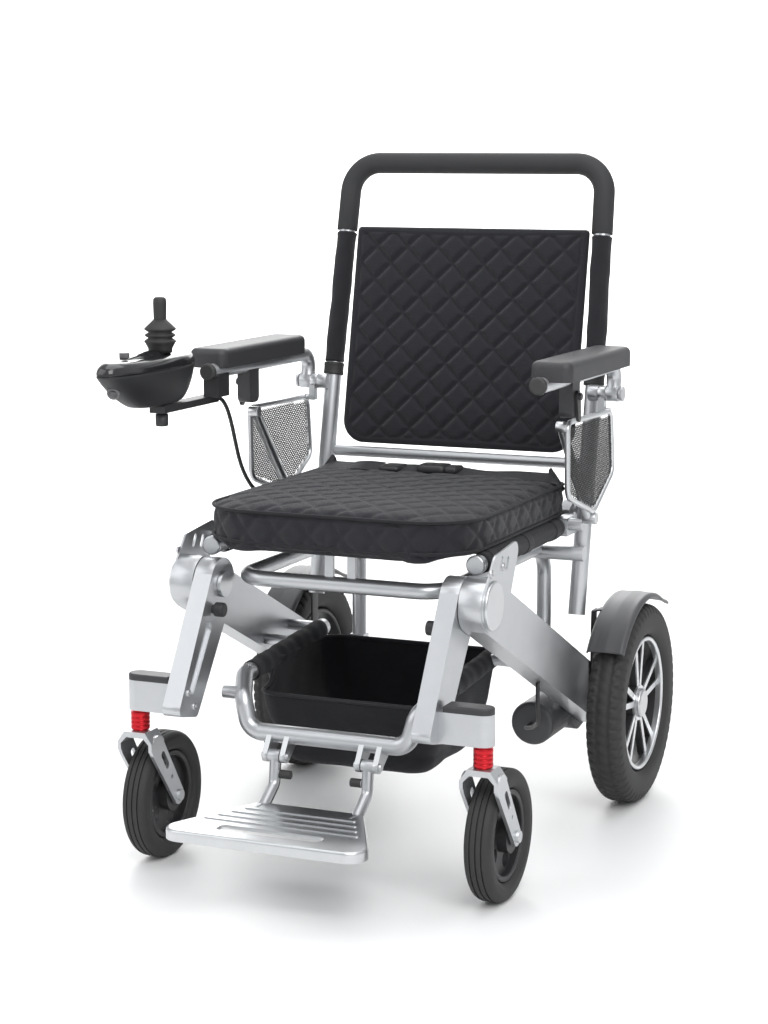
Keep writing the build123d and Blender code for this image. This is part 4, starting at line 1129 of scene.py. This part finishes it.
@dataclass
class Belt:
    """Lap belt lying loosely across the back of the cushion, with its buckle and slider."""

    width: float = 44 * MM
    thick: float = 1.8 * MM

    def build(self) -> None:
        """Make both straps, the buckle's two halves and the slider."""
        self._strap("left", [(190, 200, 503), (178, 186, 507.5), (130, 176, 510), (80, 172, 508.5),
                             (36, 173, 512)])
        self._strap("right", [(-190, 200, 503), (-178, 186, 507.5), (-120, 172, 509.5), (-62, 172, 511),
                              (-20, 173, 512)])
        self._strap("tail", [(-80, 172, 512), (-110, 166, 514), (-132, 168, 511.5)])
        self._box("belt_buckle", (-20, 26), (152, 194), (509, 521))
        self._box("belt_tongue", (24, 44), (155, 191), (510, 519.5))
        self._box("belt_slider", (-80, -46), (149, 197), (509, 516))

    def _finish(self, piece: bpy.types.Object, name: str) -> None:
        """Dress a piece and ride the frame."""
        dress(piece, name)
        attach(piece, "frame")
        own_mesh(piece)
        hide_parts("seat_belt")

    def _strap(self, name: str, points: Sequence[tuple[float, float, float]]) -> None:
        """One strap, a flat section carried along given points."""
        path = smooth_path([row(*p) for p in points], 70)
        strap = ribbon(f"belt_{name}", path, np.array((0.0, 1.0, 0.15)), self.width, self.thick)
        self._finish(strap, "webbing")

    def _box(self, name: str, xs: tuple, ys: tuple, zs: tuple) -> None:
        """Moulded plate with rounded corners and a worked edge.

        A superellipse outline in levels, each a share of the width at a share of the height, that close
        in to a slightly domed top.

        Args:
            name: The piece's name.
            xs: Its two ends across the chair, in the design's millimetres.
            ys: Its front and back.
            zs: Its underside and top.
        """
        count = 48
        a = turn_angles(count)
        ex = signed_power(np.cos(a), 0.35)
        ey = signed_power(np.sin(a), 0.35)
        mid = row(sum(xs) / 2, sum(ys) / 2, zs[0])
        half = np.array((xs[1] - xs[0], ys[1] - ys[0])) / 2 * MM
        levels = [(0.0, 0.0), (0.96, 0.0), (1.0, 0.15), (1.0, 0.7), (0.9, 0.93), (0.6, 1.0), (0.0, 1.0)]
        rings = [
            np.column_stack([mid[0] + half[0] * share * ex, mid[1] + half[1] * share * ey,
                             np.full(count, mid[2] + (zs[1] - zs[0]) * MM * level)])
            for share, level in levels
        ]
        plate = surface(name, np.stack(rings), wrap_v=True)
        self._finish(plate, "black_plastic")


@dataclass
class GuardNet:
    """Open net inside the side guard's thin frame."""

    x: float = 248.0
    pitch: float = 4.2
    hole: float = 0.55
    middle: tuple[float, float] = (168, 540)
    bulge: float = 3.0
    thick: float = 0.5 * MM
    corners: tuple = ((66.0, 598.0), (258.0, 596.0), (268.0, 512.0), (183.0, 470.0), (71.0, 504.0))

    def build(self) -> None:
        """Make the net on both sides."""
        for side in Side:
            self._net(side)

    def _inside(self, y: np.ndarray, z: np.ndarray) -> np.ndarray:
        """Whether points are inside the guard's corners."""
        keep = np.ones(y.shape, bool)
        ring = list(self.corners) + [self.corners[0]]
        for (y0, z0), (y1, z1) in zip(ring, ring[1:]):
            keep &= (y1 - y0) * (z - z0) - (z1 - z0) * (y - y0) <= 0
        return keep

    def _net(self, side: Side) -> None:
        """A lattice of square cells turned 45 degrees, each a ring of four quads round a hole."""
        n = 80
        i, j = np.meshgrid(np.arange(-n, n), np.arange(-n, n), indexing="ij")
        step = self.pitch / math.sqrt(2)
        cy = self.middle[0] + (i + j).ravel() * step
        cz = self.middle[1] + (i - j).ravel() * step
        keep = self._inside(cy, cz)
        cy, cz = cy[keep], cz[keep]
        corner = np.array([(1, 0), (0, 1), (-1, 0), (0, -1)], float) * step
        both = np.concatenate([corner, corner * self.hole])
        y = cy[:, None] + both[:, 0]
        z = cz[:, None] + both[:, 1]
        bulge = self.bulge * np.exp(-(((y - 170) / 70) ** 2) - ((z - 535) / 45) ** 2)
        x = side.value * (self.x + bulge)
        points = in_frame(np.stack([x, y, z], axis=-1).reshape(-1, 3))
        quad = np.array([(0, 1, 5, 4), (1, 2, 6, 5), (2, 3, 7, 6), (3, 0, 4, 7)])
        faces = (np.arange(len(cy))[:, None, None] * 8 + quad).reshape(-1, 4)
        net = new_mesh(f"guard_net_{side.tag}", points, faces)
        close_up(net)
        thicken(net, self.thick)
        dress(net, "mesh_fabric")
        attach(net, f"guard_{side.tag}")
        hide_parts(f"guard_mesh_{side.tag}")


# ---------------------------------------------------------------- wheels
@dataclass
class DriveTyre:
    """Rear tyre with a ribbed middle, lugs on its shoulders and a plain side wall."""

    mid_x: float = 272.5 * MM
    half: float = 27.5 * MM
    outer: float = 152 * MM
    inner: float = 102 * MM
    axle: tuple[float, float] = (AXLE_Y * MM + DESIGN_SHIFT.y, AXLE_Z * MM)
    lugs: int = 60
    groove: float = 3.2 * MM

    def build(self) -> None:
        """Make both tyres."""
        for side in Side:
            self._tyre(side)

    def _tyre(self, side: Side) -> None:
        """Section carried round the axle.

        The section is a superellipse; radius and width drop by the groove's depth where the lug pattern,
        a square wave of turn angle plus a chevron in width, is low.
        """
        turns = self.lugs * 8
        a = turn_angles(turns)[:, None]
        s = turn_angles(72)[None, :]
        mid_r = (self.outer + self.inner) / 2
        half_r = (self.outer - self.inner) / 2
        c, n = np.cos(s), np.sin(s)
        depth_r = signed_power(c, 0.62)
        depth_x = signed_power(n, 0.62)
        shoulder = np.clip((depth_r - 0.35) / 0.2, 0, 1) * np.clip((np.abs(depth_x) - 0.45) / 0.15, 0, 1)
        crown = np.clip((depth_r - 0.8) / 0.1, 0, 1) * np.clip((0.62 - np.abs(depth_x)) / 0.1, 0, 1)
        phase = a * self.lugs / (2 * np.pi) + 0.5 * (n > 0)
        wave = np.clip(np.abs((phase % 1) - 0.5) * 8 - 2.5, 0, 1)
        zig = phase + 1.1 * np.abs(depth_x)
        cut = np.clip(np.abs((zig % 1) - 0.5) * 8 - 3.0, 0, 1)
        rib = np.exp(-(((np.abs(depth_x) - 0.34) / 0.05) ** 2))
        drop = self.groove * np.clip(shoulder * wave + crown * np.maximum(cut * 0.7, rib), 0, 1)
        r = mid_r + half_r * depth_r - drop * np.clip(depth_r, 0, 1)
        x = np.broadcast_to(self.half * depth_x - drop * 0.5 * depth_x, r.shape)
        y = self.axle[0] + r * np.cos(a)
        z = self.axle[1] + r * np.sin(a)
        points = np.stack([side.value * (self.mid_x + x), y, z], -1)
        tyre = surface(f"drive_tyre_{side.tag}", points, wrap_u=True, wrap_v=True)
        dress(tyre, "tyre")
        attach(tyre, f"wheel_{side.tag}")
        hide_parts(f"rear_tyre_{side.tag}")


@dataclass
class Mudguard:
    """Moulded guard over a rear wheel: rolled edges, a raised middle and a flicked rear tip."""

    radius: float = 167.5
    inner_x: float = 242.0
    outer_x: float = 299.0
    start: float = 52.0
    end: float = 142.0
    tip_angle: float = 14.0
    tip_rise: float = 9.0
    ridge: float = 1.2
    roll: float = 5.5
    thick: float = 2.4 * MM
    stay_y: float = 249.0
    stay_foot: float = 192.0

    def build(self) -> None:
        """Make both guards and their stays."""
        for side in Side:
            self._guard(side)
            self._stay(side)

    def _guard(self, side: Side) -> None:
        """Section carried round the axle: flat crown with edges rolled down, rising at its rear end."""
        a = np.radians(np.linspace(self.start, self.end, 90))[:, None]
        s = np.linspace(-1, 1, 40)[None, :]
        tip = np.clip((np.radians(self.start + self.tip_angle) - a) / np.radians(self.tip_angle), 0, 1)
        roll = np.clip((np.abs(s) - 0.82) / 0.18, 0, 1) ** 2
        ridge = self.ridge * np.clip(1 - np.abs(s) / 0.55, 0, 1)
        r = self.radius + self.tip_rise * tip**2 + ridge - self.roll * roll
        narrow = 1 - 0.05 * tip
        x = (self.inner_x + self.outer_x) / 2 + (self.outer_x - self.inner_x) / 2 * s * narrow
        y = AXLE_Y + r * np.cos(a)
        z = AXLE_Z + r * np.sin(a)
        points = in_frame(np.stack([side.value * np.broadcast_to(x, y.shape), y, z], -1))
        guard = surface(f"mudguard_{side.tag}", points)
        thicken(guard, self.thick)
        dress(guard, "grey_plastic")
        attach(guard, "frame")
        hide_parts("mudguards")

    def _stay(self, side: Side) -> None:
        """Bent steel strap from the arm up and under the guard."""
        top = AXLE_Z + math.sqrt((self.radius - 2) ** 2 - (AXLE_Y - self.stay_y) ** 2)
        bends = ((230.5, self.stay_foot), (230.5, top - 14), (233, top - 5), (240, top - 1.6),
                 (246, top - 1.4))
        path = smooth_path([row(side.value * x, self.stay_y, z) for x, z in bends], 60)
        strap = ribbon(f"mudguard_stay_{side.tag}", path, np.array((0.0, 1.0, 0.0)), 22 * MM, 3.5 * MM)
        dress(strap, "black_plastic")
        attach(strap, "frame")


# ---------------------------------------------------------------- joystick pod
@dataclass
class Pod:
    """Joystick housing: boat-shaped shells, knob, socket, and the cable to the frame."""

    x: float = -270.0
    front: float = -330.0
    rear: float = -82.0
    half: float = 29.5
    low: float = 635.0
    seam: float = 686.0
    top: float = 711.0
    stick_y: float = -170.0
    parting: float = 0.6
    keel_back: float = 24.0
    cord: float = 6 * MM
    rounding: float = 0.985

    def build(self) -> None:
        """Make each piece."""
        self._shells()
        self._knob()
        self._panel()
        self._cable()

    def _outline(self, count: int = 160) -> np.ndarray:
        """Top view: length as a cosine, width as a sine, both to powers; the rear half is slimmer."""
        a = turn_angles(count)
        mid = (self.front + self.rear) / 2
        y = -signed_power(np.cos(a), 0.82) * (self.rear - self.front) / 2
        slim = 1 - 0.26 * np.clip(y / 128, 0, 1) ** 1.5
        x = signed_power(np.sin(a), 0.72) * self.half * slim
        return np.stack([self.x + x, mid + y], axis=1)

    def _ring(self, wide: float, long: float, shift: float, z: float) -> np.ndarray:
        """The outline scaled across and along, moved back by shift, at height z."""
        base = self._outline()
        mid = np.array((self.x, (self.front + self.rear) / 2))
        flat = (base - mid) * (wide, long) + mid + (0, shift)
        return np.column_stack([flat, np.full(len(flat), z)])

    def _shells(self) -> None:
        """Hollow lower shell that tapers to a keel, a parting groove, and the hollow domed cover."""
        lower = [self._ring(0.02, 0.02, self.keel_back, self.low)]
        for t in np.linspace(0, 1, 26):
            wide = 0.50 + 0.50 * math.sin(t * math.pi / 2) ** 0.9
            long = 0.46 + 0.54 * t**0.55
            back = self.keel_back * (1 - t) ** 1.2
            lower.append(self._ring(wide, long, back, self.low + (self.seam - self.low - 1) * t))
        lower += [self._ring(0.965, 0.992, 0, self.seam - self.parting)]
        lower += [self._ring(0.965, 0.992, 0, self.seam + self.parting)]
        lower += [self._ring(0.86, 0.94, 0, self.seam - 4), self._ring(0.6, 0.7, 8, self.seam - 20)]
        lower.append(self._ring(0.02, 0.02, 12, self.seam - 22))
        cover = [self._ring(0.02, 0.02, 0, self.top - 3), self._ring(0.44, 0.80, 0, self.seam + 15)]
        cover += [self._ring(0.88, 0.94, 0, self.seam + 6), self._ring(0.96, 0.99, 0, self.seam + 0.5)]
        cover.append(self._ring(1.0, 1.0, 0, self.seam + 1.2))
        for t in np.linspace(0, math.pi / 2, 22):
            inset = 1 - math.cos(t)
            cover.append(self._ring(1 - 0.55 * inset, 1 - 0.17 * inset, 0, self.seam + 2 + 16 * math.sin(t)))
        for share in np.linspace(1, 0.02, 14)[1:]:
            height = self.seam + 18 + (self.top - self.seam - 18) * (1 - share**2)
            cover.append(self._ring(0.45 * share, 0.83 * share, 0, height))
        for name, rings, look in (("pod_lower", lower, "black_plastic"), ("pod_cover", cover, "gloss_black")):
            shell = surface(name, in_frame(np.stack(rings)), wrap_v=True)
            dress(shell, look)
            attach(shell, "pod")
            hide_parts("pod_shell")
        screw = turned("pod_screw", [(0, -31), (8, -31), (9, -29), (9, -14), (4, -13), (4, 1), (0, 1)],
                       Vector(row(-266, -176, 0)) + Vector((0, 0, self.low * MM)), Vector((0, 0, 1)), 40)
        self._scale(screw, Vector(row(-266, -176, self.low)))
        dress(screw, "black_plastic")
        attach(screw, "pod")

    @staticmethod
    def _scale(piece: bpy.types.Object, centre: Vector) -> None:
        """Bring a piece turned in millimetres round centre to metres."""
        piece.data.transform(Matrix.Translation(centre) @ Matrix.Scale(MM, 4) @ Matrix.Translation(-centre))

    def _knob(self) -> None:
        """Turned knob, nearly straight with a rounded top, and the boot of three sharp ribs below it."""
        centre = Vector(row(self.x, self.stick_y, 0))
        outline = [(0, 0.742), (0.0085, 0.742), (0.0088, 0.752), (0.0094, 0.774), (0.0090, 0.780),
                   (0.0065, 0.7825), (0, 0.783)]
        knob = turned("stick_knob", outline, centre, Vector((0, 0, 1)), 48)
        dress(knob, "black_rubber")
        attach(knob, "stick")
        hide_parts("joystick")
        ribs = [(0, 0.706), (0.0165, 0.706), (0.0170, 0.712), (0.0210, 0.7195), (0.0225, 0.7215),
                (0.0210, 0.7232), (0.0165, 0.7262), (0.0205, 0.7285), (0.0215, 0.7300), (0.0205, 0.7315),
                (0.0160, 0.7340), (0.0210, 0.7370), (0.0225, 0.7385), (0.0210, 0.7405), (0.0130, 0.7480),
                (0.0092, 0.7520), (0, 0.752)]
        boot = turned("stick_bellows", ribs, centre, Vector((0, 0, 1)), 64)
        dress(boot, "black_rubber")
        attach(boot, "stick")
        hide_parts("stick_boot")

    def _panel(self) -> None:
        """Charging socket: a round collar on the front of the lower shell."""
        centre = Vector(row(self.x, self.front + 30, 664))
        axis = Vector((0.25, -1.0, -0.45)).normalized()
        collar = [(0, 0.004), (0.0060, 0.004), (0.0062, 0.0075), (0.0082, 0.0080), (0.0088, 0.0066),
                  (0.0088, -0.012), (0, -0.012)]
        ring = turned("pod_socket", collar, centre, axis, 36)
        dress(ring, "grey_panel")
        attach(ring, "pod")

    def _cable(self) -> None:
        """Controller cable: a smooth curve that follows its given points."""
        points = [(-266, -25, 628), (-266, 0, 628), (-264, 19, 611), (-261, 29, 583), (-259, 36, 556),
                  (-258, 46, 529), (-257.5, 62, 505), (-257, 84, 484), (-255, 110, 467), (-251, 136, 454),
                  (-247, 159, 450.5), (-247, 178.6, 451.5)]
        data = bpy.data.curves.new("controller_cord", "CURVE")
        data.dimensions = "3D"
        line = data.splines.new("NURBS")
        line.points.add(len(points) - 1)
        for point, place in zip(line.points, points):
            point.co = (*row(*place), 1.0)
        line.order_u = 3
        line.use_endpoint_u = True
        line.resolution_u = 10
        data.bevel_depth = self.cord / 2
        data.bevel_resolution = 5
        data.use_fill_caps = True
        data.materials.append(finish("black_rubber"))
        flex = bpy.data.objects.new("controller_cord", data)
        bpy.context.scene.collection.objects.link(flex)
        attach(flex, "rest_right")
        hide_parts("controller_cable")


# ---------------------------------------------------------------- small details
@dataclass(frozen=True)
class Fastener:
    """One bolt: where its seat is, which way it faces, its radius and height, and whether it has a socket."""

    place: tuple[float, float, float]
    axis: tuple[float, float, float]
    radius: float
    tall: float = 2.6
    socket: bool = True


@dataclass
class Fasteners:
    """Turned bolt heads, one mesh for each group and side."""

    look: str = "steel"
    arm: tuple[Fastener, ...] = (
        Fastener((231.2, -150, 436), (1, 0, 0), 5.5),
        Fastener((231.2, -196, 434), (1, 0, 0), 5.5),
    )
    leg: tuple[Fastener, ...] = (
        Fastener((167.6, -294, 258), (-1, 0, 0), 5.0),
        Fastener((167.6, -278, 236), (-1, 0, 0), 5.0),
    )

    def build(self) -> None:
        """Make the bolts of both sides."""
        for side in Side:
            self._group("arm_bolts", "frame", self.arm, side)
            self._group("leg_bolts", f"leg_{side.tag}", self.leg, side)

    def _group(self, name: str, body: str, bolts: Sequence[Fastener], side: Side) -> None:
        """Turn every bolt of a group and join them into one piece."""
        made = [self._bolt(f"{name}_{i}", bolt, side) for i, bolt in enumerate(bolts)]
        whole = join(f"{name}_{side.tag}", made)
        dress(whole, self.look)
        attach(whole, body)

    @staticmethod
    def _bolt(name: str, bolt: Fastener, side: Side) -> bpy.types.Object:
        """Domed head with a worked edge and, where it has one, a recess in its middle."""
        r = bolt.radius * MM
        h = bolt.tall * MM
        outline = [(r, -1.0 * MM), (r, h * 0.55), (r * 0.86, h * 0.88), (r * 0.62, h)]
        outline += [(r * 0.45, h), (r * 0.42, h * 0.3), (0, h * 0.3)] if bolt.socket else [(0, h)]
        x, y, z = bolt.place
        centre = Vector(row(side.value * x, y, z))
        axis = Vector((side.value * bolt.axis[0], bolt.axis[1], bolt.axis[2]))
        return turned(name, outline, centre, axis, 24)


def join(name: str, parts: Sequence[bpy.types.Object]) -> bpy.types.Object:
    """Make one smooth mesh of several pieces.

    Args:
        name: The whole's name.
        parts: The pieces, which are used up.

    Returns:
        The new object, linked into the scene.
    """
    work = bmesh.new()
    for part in parts:
        work.from_mesh(part.data)
        bpy.data.objects.remove(part)
    mesh = bpy.data.meshes.new(name)
    work.to_mesh(mesh)
    work.free()
    mesh.polygons.foreach_set("use_smooth", np.full(len(mesh.polygons), True))
    whole = bpy.data.objects.new(name, mesh)
    bpy.context.scene.collection.objects.link(whole)
    return whole


@dataclass
class BackSleeves:
    """Cloth sleeves over the back tubes: slightly loose, hemmed at both ends, with a rubber collar below."""

    pivot: tuple[float, float] = (250.0, 455.0)
    recline: float = 11.31
    low: float = 655.0
    high: float = 855.0
    tube: float = 12.7
    x_low: float = 213.0
    x_top: float = 206.0

    def build(self) -> None:
        """Make both sleeves and collars."""
        for side in Side:
            self._tube(side, "sleeve", self.low, self.high, 2.2, 0.5, "black_fabric")
            self._tube(side, "collar", self.low - 20, self.low - 1, 2.6, 0.0, "black_rubber")

    def _tube(self, side: Side, name: str, z0: float, z1: float, proud: float, loose: float,
              look: str) -> None:
        """Ring sections up the tube: two slow sines for loose cloth, a hem, and ends that close on the tube.

        Args:
            side: Which tube.
            name: Sleeve or collar.
            z0: Height of its lower end.
            z1: Height of its upper end.
            proud: How far it stands off the tube.
            loose: How far the cloth waves in and out.
            look: Its finish.
        """
        z = np.linspace(z0, z1, 120)
        t = (z - z0) / (z1 - z0)
        slope = math.tan(math.radians(self.recline))
        y = self.pivot[0] + (z - self.pivot[1]) * slope
        x = self.x_low - (self.x_low - self.x_top) * np.clip((z - 650) / 312, 0, 1)
        a = turn_angles(40)
        up = z[:, None]
        wave = loose * (np.sin(up / 9) * np.sin(a * 2 + up / 31) + 0.6 * np.sin(a * 3 - up / 17))
        hem = 0.5 * np.exp(-((np.minimum(t, 1 - t) * (z1 - z0) / 2.5 - 1) ** 2))
        r = self.tube + proud + wave + hem[:, None]
        ends = np.minimum(t, 1 - t)[:, None] * (z1 - z0)
        r = np.where(ends < 0.4, self.tube + 0.9, r)
        points = np.empty((len(z), len(a), 3))
        points[..., 0] = side.value * (x[:, None] + r * np.cos(a))
        points[..., 1] = y[:, None] + r * np.sin(a)
        points[..., 2] = z[:, None] - r * np.sin(a) * slope
        sleeve = surface(f"back_{name}_{side.tag}", in_frame(points), wrap_v=True)
        dress(sleeve, look)
        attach(sleeve, "back")
        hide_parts("back_sleeves")


@dataclass
class StrapLoops:
    """Webbing loops round the seat tubes near the back, holding the belt and the cloth."""

    tube_x: float = 197.0
    tube_z: float = 438.0
    radius: float = 14.6
    width: float = 22 * MM
    thick: float = 1.3 * MM
    places: tuple[float, ...] = (-118.0, 20.0, 140.0)

    def build(self) -> None:
        """Make every loop."""
        for side in Side:
            for i, y in enumerate(self.places):
                self._loop(side, i, y)

    def _loop(self, side: Side, number: int, y: float) -> None:
        """A flat strap carried once round the tube."""
        a = np.linspace(0, 2 * np.pi, 49)
        x = side.value * (self.tube_x + self.radius * np.cos(a))
        z = self.tube_z + self.radius * np.sin(a)
        line = in_frame(np.stack([x, np.full(len(a), y), z], axis=1))
        name = f"strap_loop_{side.tag}_{number}"
        strap = ribbon(name, line, np.array((0.0, 1.0, 0.0)), self.width, self.thick)
        dress(strap, "webbing")
        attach(strap, "frame")


def main() -> None:
    """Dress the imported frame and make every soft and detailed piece."""
    logging.basicConfig(level=logging.INFO, format="%(name)s: %(message)s")
    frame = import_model()
    stages: list[tuple[str, Callable[[], None]]] = [
        ("studio", Studio().build),
        ("frame pieces", FramePieces(frame).build),
        ("seat cushion", SeatCushion().build),
        ("back panel", BackPanel().build),
        ("sling", Sling().build),
        ("basket", Basket().build),
        ("belt", Belt().build),
        ("guard nets", GuardNet().build),
        ("drive tyres", DriveTyre().build),
        ("mudguards", Mudguard().build),
        ("pod", Pod().build),
        ("fasteners", Fasteners().build),
        ("back sleeves", BackSleeves().build),
        ("strap loops", StrapLoops().build),
    ]
    for name, build in stages:
        build()
        LOG.info("%s done", name)


if __name__ == "__main__":
    main()
